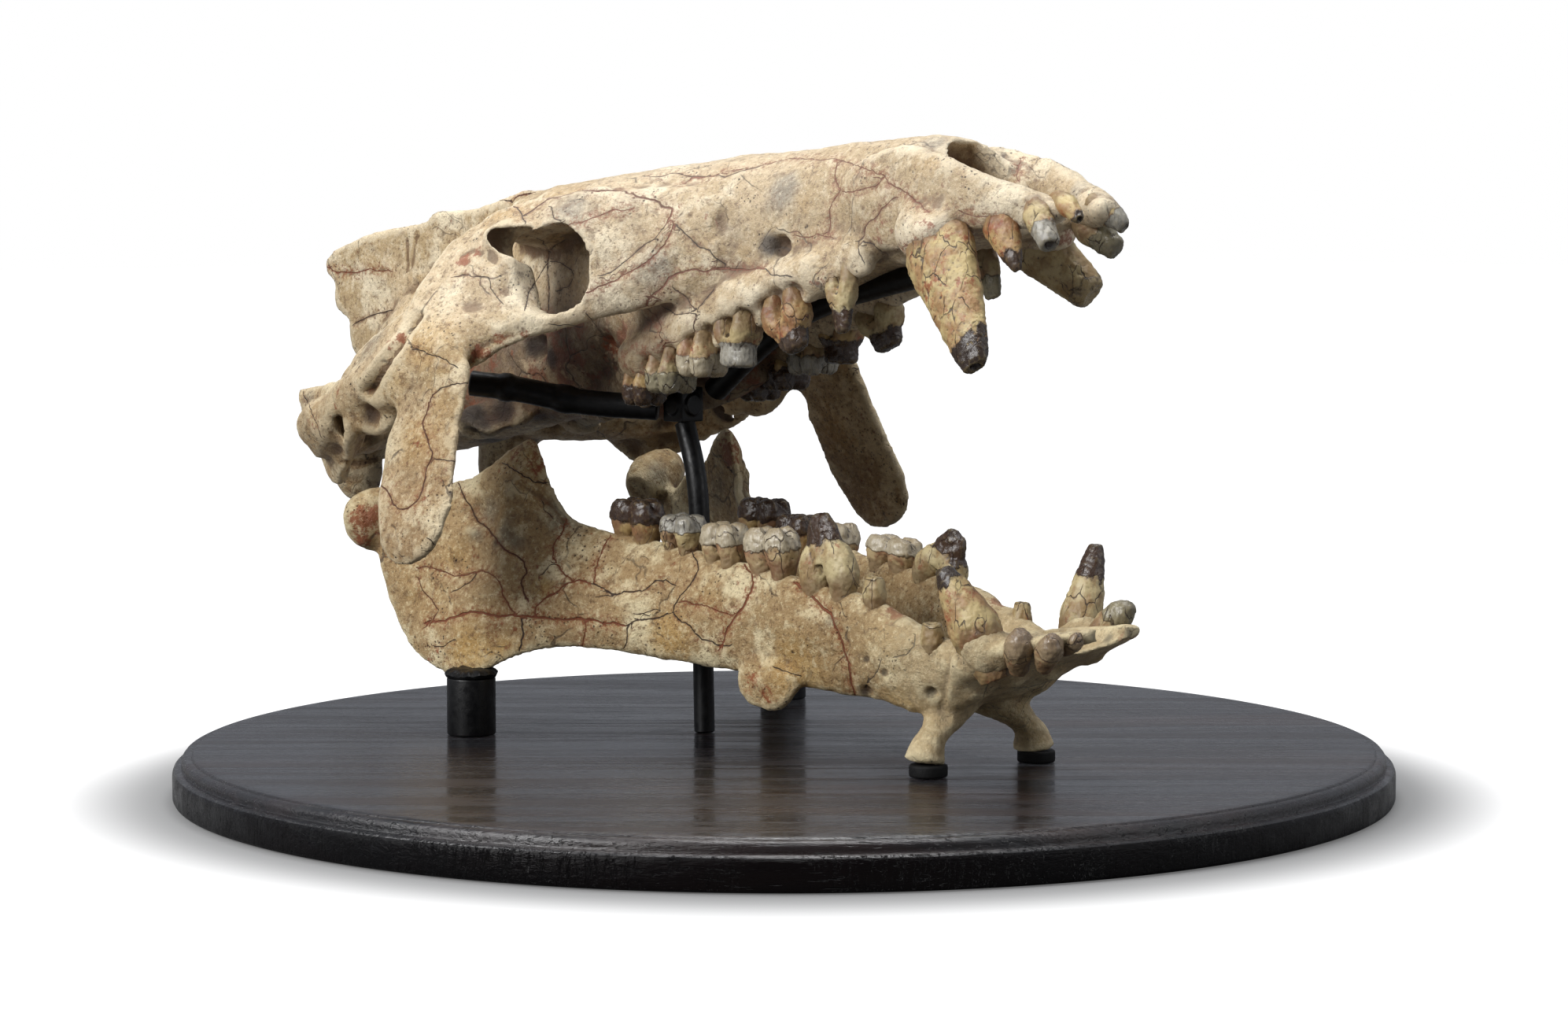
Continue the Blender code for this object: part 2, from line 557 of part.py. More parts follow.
def fill_cranium(work):
    for rows in (SNOUT, FOREHEAD, BRAINCASE):
        add_rings(work, list(body_rings(rows)))
    for rows in (CHEEK_ARCH, EYE_WALL, REAR_WALL, FLANGE_ROOT):
        add_both_sides(work, blade_rings(rows))
    for rows in (CHEEK_FLANGE, BROW_BAR):
        add_both_sides(work, tube_rings(rows, aside=(1, 0, 0)))
    for rows in (JAW_SOCKET_BAR, NECK_WING, NECK_PROCESS):
        add_both_sides(work, tube_rings(rows, aside=(1, 0, 0)))
    for rows in (BROW_RIM, NECK_CONDYLE, PALATE_WING, TOOTH_RIDGE, SNOUT_ARM, CANINE_SWELLING):
        add_both_sides(work, tube_rings(rows))
    for rows in (SKULL_FLOOR, SNOUT_FLOOR):
        add_rings(work, list(tube_rings(rows)))
    for x, y, z, *radii in ARCH_FILLS:
        for side in (-1, 1):
            add_ball(work, (x, y * side, z), radii)
    add_plate(work, CREST, 0.0045)


def fill_cranium_hollows(work):
    for side in (-1, 1):
        add_ball(work, (-0.101, 0.104 * side, 0.324), (0.0225, 0.062, 0.029), turn=-0.15)
        add_ball(work, (-0.130, 0.092 * side, 0.338), (0.020, 0.034, 0.013), turn=-0.45)
        add_ball(work, (-0.243, 0.160 * side, 0.226), (0.010, 0.014, 0.014), turn=0.3)
        add_ball(work, (0.042, 0.056 * side, 0.340), (0.014, 0.015, 0.008))
    add_ball(work, (0.215, 0, 0.390), (0.085, 0.030, 0.030), turn=-0.1)
    add_ball(work, (-0.010, 0, 0.276), (0.110, 0.024, 0.018), turn=-0.33)


def fill_mandible(work):
    add_both_sides(work, blade_rings(MANDIBLE_SIDE))
    add_rings(work, list(body_rings(CHIN)))
    add_both_sides(work, tube_rings(CHIN_FLANGE, aside=(0, 1, 0)))
    add_both_sides(work, tube_rings(REAR_TUBERCLE))
    add_rings(work, mirrored(tube_rings(JAW_CONDYLE, aside=(1, 0, 0))))
    add_rings(work, list(tube_rings(LEFT_JAW_CONDYLE, aside=(1, 0, 0))))
    add_both_sides(work, tube_rings(LOWER_CANINE_SWELLING, aside=(1, 0, 0)))


def fill_mandible_hollows(work):
    add_ball(work, (0.200, 0, 0.126), (0.085, 0.026, 0.019), turn=0.1)
    for side in (-1, 1):
        add_ball(work, (-0.165, 0.124 * side, 0.150), (0.040, 0.014, 0.030))


def tooth_rings(tooth, grow=0.0):
    """Rings from the root's end through the neck to the tip, swollen by grow."""
    shape = dict(zip(TOOTH_FIELDS, tooth))
    root, neck, tip = (np.array(shape[key]) for key in ("root", "neck", "tip"))
    deep = (root - neck) / np.linalg.norm(root - neck)
    belly = neck + 0.35 * (tip - neck)
    length, width = shape["half_length"], shape["half_width"]
    share = shape["tip_share"]
    rows = (
        (root + deep * grow, 0.62),
        (neck, 0.92),
        (belly, 0.92 + 0.08 * share),
        (tip - 0.15 * (tip - neck), share * 0.9 + 0.08),
        (tip, share * 0.72),
    )
    cosine, sine = turned(8 if length > 0.009 else 6)
    start = Vector(tip - root).normalized()
    along = (Vector((1, 0, 0)) - start * start.x).normalized()
    aside = start.cross(along)
    for centre, size in rows:
        a, b = length * size + grow, width * size + grow
        yield [Vector(centre) + along * a * c + aside * b * s for c, s in zip(cosine, sine)]


def sockets(name, teeth):
    """All the sockets of a jaw as one cutter: the root half of each tooth, a little larger."""

    def fill(work):
        for tooth in teeth:
            add_rings(work, list(tooth_rings(tooth, FIT_GAP)))

    return object_from(name, fill)


def add_tooth(name, tooth):
    made = object_from(name, lambda work: add_rings(work, list(tooth_rings(tooth))), "fossil_tooth")
    shade_rounded(made, 50)
    stand_on_mid_plane(made)


def add_bone(name, fill, fill_hollows, triangles, teeth, keep_clear):
    """A bone fused from its parts, hollowed, thinned out and cut for its teeth and supports."""
    raw = object_from(f"{name}_raw", fill)
    fuse(raw, VOXEL)
    hollows = object_from(f"{name}_hollows", fill_hollows)
    fuse(hollows, VOXEL)
    cut(raw, hollows)
    fuse(raw, VOXEL)
    soften(raw, 4)
    thin_out(raw, triangles)
    bone = baked(name, raw, "fossil_bone")
    bpy.data.objects.remove(hollows, do_unlink=True)
    cut(bone, sockets(f"{name}_sockets", teeth))
    for cutter in keep_clear:
        cut(bone, cutter)
    bone = baked(name, bone, "fossil_bone")
    drop_chips(bone.data)
    shade_rounded(bone, 60)
    stand_on_mid_plane(bone)
    return bone


def rod_rings(line, across, upright, sides, grow=0.0, aside=(0, 1, 0)):
    rows = [(*point, across + grow, upright + grow) for point in line]
    first, last = np.array(line[0]), np.array(line[-1])
    for row, end, inner in ((0, first, np.array(line[1])), (-1, last, np.array(line[-2]))):
        out = (end - inner) / np.linalg.norm(end - inner) * grow
        rows[row] = (*(end + out), across + grow, upright + grow)
    return list(tube_rings(rows, sides, aside, steps=2))


def cross_rod_rings(grow=0.0):
    return rod_rings(CROSS_ROD_LINE, 0.0082, 0.0082, 16, grow, aside=(0, 0, 1))


def palate_bar_rings(grow=0.0):
    return rod_rings(PALATE_BAR_LINE, 0.0085, 0.0078, 8, grow)


def column_rings(x, y, low, high, radius, sides=24):
    cosine, sine = turned(sides)
    return [[(x + radius * c, y + radius * s, z) for c, s in zip(cosine, sine)] for z in (low, high)]


def seat_cutters():
    """Room for the posts and pads, so that the mandible's undersides sit flat on them."""
    pad_top = BASE_THICKNESS + FIT_GAP + PAD_HEIGHT
    for side in (-1, 1):
        post = column_rings(POST_X, POST_Y * side, 0.02, POST_TOP + FIT_GAP, POST_RADIUS + 0.004)
        pad = column_rings(PAD_X, PAD_Y * side, 0.02, pad_top + FIT_GAP, PAD_RADIUS + 0.008)
        yield support_cutter(f"post_seat_{side}", post)
        yield support_cutter(f"pad_seat_{side}", pad)


def support_cutter(name, rings):
    return object_from(name, lambda work: add_rings(work, rings))


def add_base():
    """A round board with a rounded top edge and a slightly eased bottom edge."""
    rim = [(BASE_RADIUS - 0.002, 0.0), (BASE_RADIUS, 0.002)]
    for step in range(4):
        angle = math.radians(30 * step)
        r = BASE_RADIUS - BASE_EDGE_ROUND * (1 - math.cos(angle))
        z = BASE_THICKNESS - BASE_EDGE_ROUND * (1 - math.sin(angle))
        rim.append((r, z))
    cosine, sine = turned(60)
    rings = [[(r * c, r * s, z) for c, s in zip(cosine, sine)] for r, z in rim]
    base = object_from("base_disc", lambda work: add_rings(work, rings), "dark_wood")
    shade_rounded(base, 35)


def shade_rounded(piece, sharp_degrees):
    piece.data.shade_smooth()
    piece.data.set_sharp_from_angle(angle=math.radians(sharp_degrees))


def add_cylinder(name, foot, radius, height, finish, sides=24):
    matrix = Matrix.Translation(Vector(foot) + Vector((0, 0, height / 2)))

    def fill(work):
        bmesh.ops.create_cone(
            work, cap_ends=True, segments=sides, radius1=radius, radius2=radius, depth=height, matrix=matrix
        )

    made = object_from(name, fill, finish)
    shade_rounded(made, 35)
    stand_on_mid_plane(made)


def centre_post_rings():
    return rod_rings(CENTRE_POST_LINE, CENTRE_POST_RADIUS, CENTRE_POST_RADIUS, 12, aside=(1, 0, 0))


def add_steel(name, fill):
    made = object_from(name, fill, "black_steel")
    shade_rounded(made, 50)
    stand_on_mid_plane(made)


def add_supports():
    floor = BASE_THICKNESS + FIT_GAP
    for side, name in ((-1, "right"), (1, "left")):
        post, pad = (POST_X, POST_Y * side, floor), (PAD_X, PAD_Y * side, floor)
        add_cylinder(f"rear_post_{name}", post, POST_RADIUS, POST_TOP - floor, "black_steel")
        add_cylinder(f"chin_pad_{name}", pad, PAD_RADIUS, PAD_HEIGHT, "black_rubber", 16)
    add_steel("centre_post", lambda work: add_rings(work, centre_post_rings()))
    add_steel("cross_rod", lambda work: add_rings(work, cross_rod_rings()))
    add_steel("palate_bar", lambda work: add_rings(work, palate_bar_rings()))
    add_steel("post_clamp", lambda work: add_ball(work, CLAMP_CENTRE, CLAMP_RADII, 2))


def tooth_nodes():
    rows = {
        "upper_right": UPPER_RIGHT,
        "upper_left": UPPER_LEFT,
        "lower_right": LOWER_RIGHT,
        "lower_left": LOWER_LEFT,
    }
    for row, teeth in rows.items():
        for name, tooth in teeth.items():
            yield f"{row}_{name}", tooth


def main():
    clear_scene()
    add_base()
    clear_of_cranium = [
        support_cutter("cross_rod_room", cross_rod_rings(0.0006)),
        support_cutter("palate_bar_room", palate_bar_rings(0.0006)),
    ]
    upper = [*UPPER_RIGHT.values(), *UPPER_LEFT.values()]
    lower = [*LOWER_RIGHT.values(), *LOWER_LEFT.values()]
    add_bone("cranium", fill_cranium, fill_cranium_hollows, CRANIUM_TRIANGLES, upper, clear_of_cranium)
    seats = list(seat_cutters())
    add_bone("mandible", fill_mandible, fill_mandible_hollows, MANDIBLE_TRIANGLES, lower, seats)
    for name, tooth in tooth_nodes():
        add_tooth(name, tooth)
    add_supports()


main()
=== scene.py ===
"""The fossil entelodont skull as it looks: weathered bone, teeth, steel posts and the varnished wooden base.

Metres, +Z up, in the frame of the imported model: X forward along the snout, Y to the animal's left.
"""

import math

import bmesh
import bpy
import numpy as np
from mathutils import Matrix, Vector, noise
from mathutils.bvhtree import BVHTree
from mathutils.kdtree import KDTree


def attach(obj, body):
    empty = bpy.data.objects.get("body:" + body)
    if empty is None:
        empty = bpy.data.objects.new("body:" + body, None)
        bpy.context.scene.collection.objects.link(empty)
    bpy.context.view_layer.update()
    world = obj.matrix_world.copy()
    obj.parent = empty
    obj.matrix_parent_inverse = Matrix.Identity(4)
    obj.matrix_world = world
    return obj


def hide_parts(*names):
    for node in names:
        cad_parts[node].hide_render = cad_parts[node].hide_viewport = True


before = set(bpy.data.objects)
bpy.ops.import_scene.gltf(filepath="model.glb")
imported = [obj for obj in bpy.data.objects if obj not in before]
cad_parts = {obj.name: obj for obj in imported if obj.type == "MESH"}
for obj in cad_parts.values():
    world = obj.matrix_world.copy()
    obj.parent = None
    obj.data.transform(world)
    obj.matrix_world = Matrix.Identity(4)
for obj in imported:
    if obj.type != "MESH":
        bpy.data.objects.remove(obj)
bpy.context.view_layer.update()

# The camera, worked out from the base's outline in the photograph of 1993 x 1300 pixels
PHOTO_WIDTH, PHOTO_HEIGHT = 1993, 1300
FOCAL_PIXELS = 5000.0
HEADING = math.radians(47.9)
CAMERA_BACK, CAMERA_HEIGHT, CAMERA_DOWN = 2.4506, 0.3745, 0.0819

# Driving dimensions
BASE_RADIUS = 0.380
BASE_THICKNESS = 0.0284
SIDE_WALL_TOP = BASE_THICKNESS - 0.0095
MID_Y = 0.0075                # the skull's mid-plane stands this far left of the base's centre
POST_RADIUS, POST_TOP = 0.0155, 0.0665
POST_X, POST_Y = -0.157, 0.1335
PAD_RADIUS, PAD_TOP = 0.0115, 0.0363
PAD_X, PAD_Y = 0.169, 0.0455
FIT_GAP = 0.0004
CREST_HALF_THICKNESS = 0.0045
# The grid on which bones and teeth are fused, and the lumps that roughen them: size and height
CRANIUM_VOXEL, MANDIBLE_VOXEL, TOOTH_VOXEL = 0.0027, 0.0021, 0.0009
BONE_LUMPS = ((0.030, 0.0011), (0.010, 0.0006))
TOOTH_LUMPS = ((0.006, 0.0007), (0.0022, 0.0003))


def metres(*rows):
    """Rows given in millimetres, in metres. A share is given in thousandths, so that it divides too."""
    return np.array(rows) / 1000


# Stations of the bones. Each row is listed, and the surface runs smoothly from row to row.

# x, low z, high z, half width, how much narrower the top is than the bottom
SNOUT = metres(
    (178, 346, 384, 41, 250), (160, 340, 401, 45, 400), (135, 334, 406, 45, 450), (100, 326, 405, 43, 400),
    (60, 312, 402, 48, 300), (15, 300, 398, 54, 250), (-30, 284, 396, 62, 150), (-65, 264, 391, 66, 100),
    (-95, 254, 386, 62, 100), (-125, 258, 381, 52, 50),
)
FOREHEAD = metres(
    (-45, 345, 393, 60, 200), (-80, 345, 390, 77, 200), (-115, 350, 385, 90, 200),
    (-150, 346, 380, 97, 200), (-185, 336, 377, 96, 300), (-215, 336, 374, 72, 400),
    (-250, 338, 371, 40, 400),
)
BRAINCASE = metres(
    (-105, 262, 378, 52, 100), (-150, 245, 374, 50, 100), (-200, 228, 366, 47, 300),
    (-250, 216, 350, 46, 500), (-300, 206, 335, 50, 600), (-350, 196, 318, 54, 600),
    (-395, 190, 298, 50, 600), (-425, 205, 275, 36, 600),
)
CHIN = metres(
    (138, 86, 104, 26, 0), (160, 66, 108, 40, 0), (190, 76, 113, 47, 0), (213, 90, 116, 48, -100),
    (235, 100, 118, 44, -200), (257, 109, 121, 36, -200), (274, 115, 124, 22, -200),
)
# x, low z, high z, y at the low edge, y at the high edge, half thickness
REAR_WALL = metres(
    (-232, 214, 270, 170, 160, 10), (-255, 200, 264, 158, 148, 11), (-280, 186, 260, 143, 136, 10),
    (-305, 178, 250, 130, 126, 9), (-330, 196, 246, 124, 121, 8), (-350, 220, 243, 121, 119, 6),
    (-362, 233, 242, 120, 119, 4),
)
FLANGE_ROOT = metres(
    (-140, 240, 296, 166, 150, 7), (-165, 236, 300, 170, 152, 9), (-190, 236, 298, 173, 154, 10),
    (-215, 236, 286, 173, 158, 9), (-240, 232, 268, 168, 160, 7),
)
CHEEK_ARCH = metres(
    (-5, 315, 350, 46, 44, 16), (-35, 306, 352, 62, 58, 16), (-65, 296, 346, 82, 76, 14),
    (-90, 287, 326, 106, 98, 10), (-112, 279, 304, 128, 120, 8), (-132, 264, 298, 146, 140, 8),
    (-152, 252, 300, 160, 154, 8), (-180, 250, 286, 170, 166, 9), (-210, 244, 268, 174, 170, 9),
    (-238, 232, 256, 172, 168, 10), (-258, 212, 246, 167, 163, 12), (-275, 204, 240, 160, 156, 13),
    (-300, 196, 238, 145, 140, 15),
)
# The wall that rings the eye socket, from the snout back to the brow
EYE_WALL = metres(
    (-10, 318, 372, 50, 44, 14), (-45, 310, 376, 66, 56, 16), (-75, 304, 374, 86, 72, 18),
    (-100, 298, 372, 108, 84, 18), (-130, 292, 368, 130, 92, 16), (-158, 290, 362, 146, 98, 13),
    (-180, 292, 352, 154, 106, 10), (-194, 300, 340, 152, 118, 7),
)
MANDIBLE_SIDE = metres(
    (196, 76, 110, 26, 34, 13), (175, 68, 112, 30, 40, 14), (150, 64, 121, 34, 43, 14),
    (113, 69, 133, 38, 44, 13), (63, 71, 139, 44, 46, 13), (28, 76, 143, 50, 48, 13),
    (-10, 79, 147, 60, 50, 14), (-50, 82, 152, 72, 53, 15), (-85, 85, 156, 86, 59, 14),
    (-112, 85, 160, 99, 68, 12), (-130, 80, 168, 111, 74, 10), (-142, 74, 184, 118, 78, 9),
    (-149, 70, 206, 122, 81, 9), (-157, 66, 216, 126, 83, 10), (-174, 64, 208, 129, 88, 9),
    (-197, 66, 191, 131, 97, 8), (-218, 74, 185, 131, 104, 8), (-240, 98, 171, 131, 111, 9),
    (-258, 128, 169, 127, 116, 9), (-272, 148, 172, 122, 118, 9),
)
# Outline of the thin crest that stands over the braincase, x and z, with its broken rear edge
CREST = metres(
    (-150, 374), (-271, 373), (-318, 361), (-366, 359), (-372, 352), (-404, 349), (-449, 341), (-480, 333),
    (-496, 323), (-494, 313), (-484, 309), (-483, 291), (-467, 283), (-465, 262), (-452, 250), (-400, 225),
    (-300, 250), (-200, 300),
)
# Each tube row is x, y, z, half width across, half height
CHIN_FLANGE = metres(
    (158, 4, 80, 18, 20), (162, 17, 72, 16, 17), (165, 29, 62, 11.5, 13), (166, 38, 53, 8.5, 9.5),
    (166, 44, 45, 10.5, 11.5), (166, 46, 36.8, 12.8, 14),
)
REAR_TUBERCLE = metres((40, 51, 88, 10, 31), (36, 56, 77, 8, 27), (28, 59, 69, 7, 16), (23, 60, 63.5, 5, 7))
JAW_CONDYLE = metres(
    (-262, 96, 163, 9, 11), (-266, 110, 162, 14, 18), (-268, 126, 159, 15, 21), (-267, 138, 154, 12, 19),
    (-265, 145, 150, 6, 9),
)
LEFT_JAW_CONDYLE = metres(
    (-262, 94, 165, 10, 13), (-267, 106, 172, 15, 17), (-271, 120, 176, 16, 18), (-271, 132, 176, 13, 16),
    (-270, 139, 175, 6, 8),
)
CHEEK_FLANGE = metres(
    (-158, 158, 284, 24, 8), (-152, 164, 258, 34, 6.5), (-147, 177, 224, 36, 5.5),
    (-140, 188, 193, 37, 5.5), (-130, 197, 168, 35, 5.5), (-122, 201, 154, 25, 5), (-118, 202, 147, 13, 4),
)
BROW_BAR = metres(
    (-176, 92, 350, 14, 10), (-184, 110, 334, 16, 9), (-182, 132, 314, 17, 8), (-172, 152, 294, 20, 8),
)
BROW_RIM = metres(
    (-85, 78, 366, 10, 12), (-115, 89, 362, 9, 10), (-145, 96, 358, 8, 9), (-172, 100, 350, 9, 10),
)
JAW_SOCKET_BAR = metres(
    (-350, 30, 235, 32, 30), (-338, 75, 221, 34, 22), (-312, 115, 216, 34, 18), (-285, 145, 219, 26, 18),
    (-262, 160, 226, 18, 18),
)
NECK_WING = metres(
    (-403, 10, 225, 16, 22), (-394, 50, 220, 16, 22), (-378, 80, 218, 18, 22), (-364, 97, 217, 18, 21),
)
NECK_PROCESS = metres(
    (-374, 74, 222, 25, 24), (-374, 68, 200, 24, 20), (-375, 62, 178, 19, 15), (-376, 58, 163, 10, 9),
)
NECK_CONDYLE = metres((-390, 20, 212, 18, 22), (-418, 23, 204, 17, 20), (-432, 23, 199, 9, 11))
SKULL_FLOOR = metres(
    (-120, 0, 262, 30, 14), (-180, 0, 246, 26, 16), (-270, 0, 228, 26, 18), (-350, 0, 212, 30, 18),
    (-400, 0, 206, 26, 16),
)
PALATE_WING = metres(
    (-70, 36, 266, 14, 16), (-110, 32, 250, 8, 18), (-150, 26, 240, 5, 17), (-185, 22, 234, 4, 12),
)
TOOTH_RIDGE = metres(
    (110, 38, 336, 8, 12), (60, 42, 321, 13, 15), (20, 45, 308, 15, 17), (-20, 48, 293, 16, 18),
    (-60, 51, 276, 16, 18), (-95, 52, 264, 14, 14),
)
SNOUT_ARM = metres(
    (85, 28, 366, 10, 22), (115, 34, 367, 11, 30), (145, 37, 370, 10, 31), (175, 40, 370, 9, 24),
    (205, 37, 367, 10, 17), (232, 28, 363, 11, 12), (252, 19, 361, 9, 7),
)
SNOUT_FLOOR = metres((145, 0, 346, 38, 8), (180, 0, 350, 38, 7), (210, 0, 354, 34, 6))
CANINE_SWELLING = metres((150, 40, 352, 14, 18), (172, 46, 348, 14, 16), (192, 45, 352, 10, 12))
LOWER_CANINE_SWELLING = metres((220, 34, 100, 12, 11), (214, 41, 107, 13, 13), (208, 44, 116, 13, 13))
# Rounded masses behind the cheek and under the ear: x, y, z and radii
ARCH_FILLS = metres(
    (-216, 163, 246, 30, 10, 30), (-236, 155, 242, 28, 10, 26), (-262, 44, 219, 20, 14, 12),
    (-240, 34, 227, 18, 12, 12),
)
# Rounded hollows: x, y, z and radii, and the turn about Y in thousandths of a radian
PAIRED_CRANIUM_HOLLOWS = metres(
    (-101, 104, 324, 22.5, 62, 29, -150), (-130, 92, 338, 20, 34, 13, -450),
    (-118, 78, 322, 24, 30, 27, -150), (-151, 80, 335, 24, 23, 14, -300),
    (-243, 160, 226, 10, 14, 14, 300), (42, 56, 340, 14, 15, 8, 0), (36, 47, 340, 8, 18, 8, 0),
)
MIDDLE_CRANIUM_HOLLOWS = metres((215, 0, 390, 85, 30, 30, -100), (-10, 0, 276, 110, 24, 18, -330))
PAIRED_MANDIBLE_HOLLOWS = metres((-165, 124, 150, 40, 14, 30, 0))
MIDDLE_MANDIBLE_HOLLOWS = metres((200, 0, 126, 85, 26, 19, 100))

# Steel supports, as centre lines. The skull's mid-plane is y = 0 here too.
CENTRE_POST_LINE = metres(
    (-64, -18, 1000 * (BASE_THICKNESS + FIT_GAP)), (-69, -16, 120), (-74, -15, 185), (-88.5, -13, 225.5),
)
CLAMP_CENTRE, CLAMP_RADII = metres((-91, -12, 237), (11.5, 11.5, 11))
CROSS_ROD_LINE = metres((-104, -22, 234.5), (-140, -55, 238), (-170, -84, 246), (-192, -106, 250))
PALATE_BAR_LINE = metres(
    (-76, 2, 246), (-40, 0, 270), (0, 0, 293), (40, 0, 307), (80, 0, 316), (116, 0, 323),
)

# Teeth: root, neck and tip as x, y, z; half length along the jaw and half width, in millimetres;
# how blunt the tip is; and the look
TEETH = {
    "upper_right": {
        "incisor_1": ((243, -18, 370), (254, -21, 366), (270, -25, 357), 6.8, 6.4, 0.45, "tusk"),
        "incisor_2": ((232, -28, 368), (241, -31, 361), (258, -37, 342), 8.8, 8.2, 0.75, "grey"),
        "incisor_3": ((208, -32, 366), (217, -36, 355), (236, -41, 328), 12, 8.5, 0.3, "amber"),
        "canine": ((166, -41, 362), (178, -48, 342), (228, -66, 273), 24, 14, 0.42, "tusk"),
        "premolar_2": ((89, -41, 332), (91, -43, 318), (94, -45, 288), 12, 7, 0.3, "brown_tip"),
        "premolar_3": ((40, -43, 316), (42, -44, 300), (55, -46, 277), 19, 11, 0.4, "amber"),
        "premolar_4": ((2, -47, 307), (2, -47, 290), (2, -47, 265), 15.8, 13, 0.8, "grey"),
        "molar_1": ((-28, -49, 298), (-28, -50, 280), (-28, -50, 258), 13.5, 16, 0.85, "pale"),
        "molar_2": ((-56, -51, 284), (-56, -52, 268), (-56, -52, 247), 13.2, 16, 0.85, "olive"),
        "molar_3": ((-82, -51, 272), (-82, -52, 257), (-82, -52, 238), 11.5, 14, 0.8, "dark"),
    },
    "upper_left": {
        "incisor_2": ((234, 20, 368), (242, 23, 363), (256, 28, 352), 8.5, 8, 0.6, "grey"),
        "incisor_3": ((212, 32, 360), (220, 34, 353), (240, 38, 338), 11, 9, 0.7, "olive"),
        "canine": ((150, 40, 356), (160, 48, 343), (197, 63, 311), 19, 16, 0.7, "blunt"),
        "premolar_1": ((125, 41, 344), (127, 43, 330), (132, 44, 308), 10, 6, 0.6, "olive"),
        "premolar_3": ((30, 42, 314), (32, 43, 298), (42, 44, 275), 19, 11, 0.5, "brown_tip"),
        "premolar_4": ((-6, 46, 303), (-6, 47, 286), (-6, 47, 264), 14.5, 13, 0.8, "dark"),
        "molar_1": ((-36, 49, 294), (-36, 50, 277), (-36, 50, 256), 14, 16, 0.85, "grey"),
        "molar_2": ((-64, 51, 281), (-64, 52, 266), (-64, 52, 245), 12.5, 16, 0.85, "dark"),
        "molar_3": ((-89, 51, 270), (-89, 52, 255), (-89, 52, 237), 11.5, 14, 0.8, "dark"),
    },
    "lower_right": {
        "incisor_1": ((256, -20, 108), (263, -23.5, 113), (273, -26, 119), 5, 5, 0.8, "peg"),
        "incisor_2": ((249, -31, 99), (256, -36, 107), (267, -40, 119), 7.5, 7.5, 0.7, "peg"),
        "incisor_3": ((233, -35, 96), (238, -41, 106), (246, -46, 121), 8.5, 8.5, 0.7, "peg"),
        "canine": ((216, -36, 90), (207, -43, 116), (186, -51, 154), 17, 14.5, 0.35, "tusk"),
        "premolar_1": ((171, -43, 94), (171, -44, 108), (171, -45, 120), 8, 7, 0.8, "blunt"),
        "premolar_2": ((122, -44, 114), (122, -45, 131), (122, -45, 144), 8, 6.5, 0.8, "blunt"),
        "premolar_3": ((84, -46, 120), (84, -46, 139), (76, -47, 179), 24, 10, 0.25, "brown_tip"),
        "premolar_4": ((34, -47, 128), (34, -47, 145), (32, -48, 168), 20, 11.5, 0.6, "pale"),
        "molar_1": ((-8, -49, 130), (-8, -49, 147), (-8, -50, 168), 16, 12, 0.8, "pale"),
        "molar_2": ((-45, -51, 136), (-45, -51, 152), (-45, -52, 171), 15, 12.5, 0.85, "grey"),
        "molar_3": ((-84, -56, 142), (-84, -56, 158), (-84, -57, 179), 19.5, 12, 0.8, "dark"),
    },
    "lower_left": {
        "incisor_3": ((222, 33, 104), (233, 36, 116), (252, 40, 131), 8.5, 8.5, 0.7, "olive"),
        "canine": ((208, 36, 96), (206, 44, 117), (207, 57, 163), 13.5, 12, 0.35, "brown_tip"),
        "premolar_1": ((157, 43, 98), (157, 44, 113), (157, 45, 125), 7.5, 6.5, 0.7, "blunt"),
        "premolar_3": ((84, 45, 116), (84, 45, 134), (101, 46, 163), 22, 10, 0.25, "brown_tip"),
        "premolar_4": ((40, 48, 124), (40, 48, 141), (42, 49, 157), 20.5, 11.5, 0.75, "pale"),
        "molar_1": ((-14, 49, 124), (-14, 49, 141), (-14, 50, 162), 16, 12, 0.8, "pale"),
        "molar_2": ((-51, 51, 130), (-51, 51, 146), (-51, 52, 165), 15, 12.5, 0.85, "dark"),
        "molar_3": ((-90, 56, 136), (-90, 56, 152), (-90, 57, 173), 19.5, 12, 0.8, "dark"),
    },
}

# Marks on the bones, placed by the photograph's pixels

# u, v, radius in millimetres and how many times it is smoothed
CRANIUM_MELTS = (
    (545, 415, 34, 60), (520, 470, 26, 50), (575, 440, 20, 30), (500, 520, 20, 30), (440, 500, 24, 30),
    (470, 450, 22, 30), (630, 375, 14, 20), (850, 350, 26, 30), (960, 370, 26, 30), (1060, 320, 24, 30),
)
MANDIBLE_MELTS = ((620, 760, 30, 20), (1180, 860, 20, 20), (1290, 860, 20, 20))
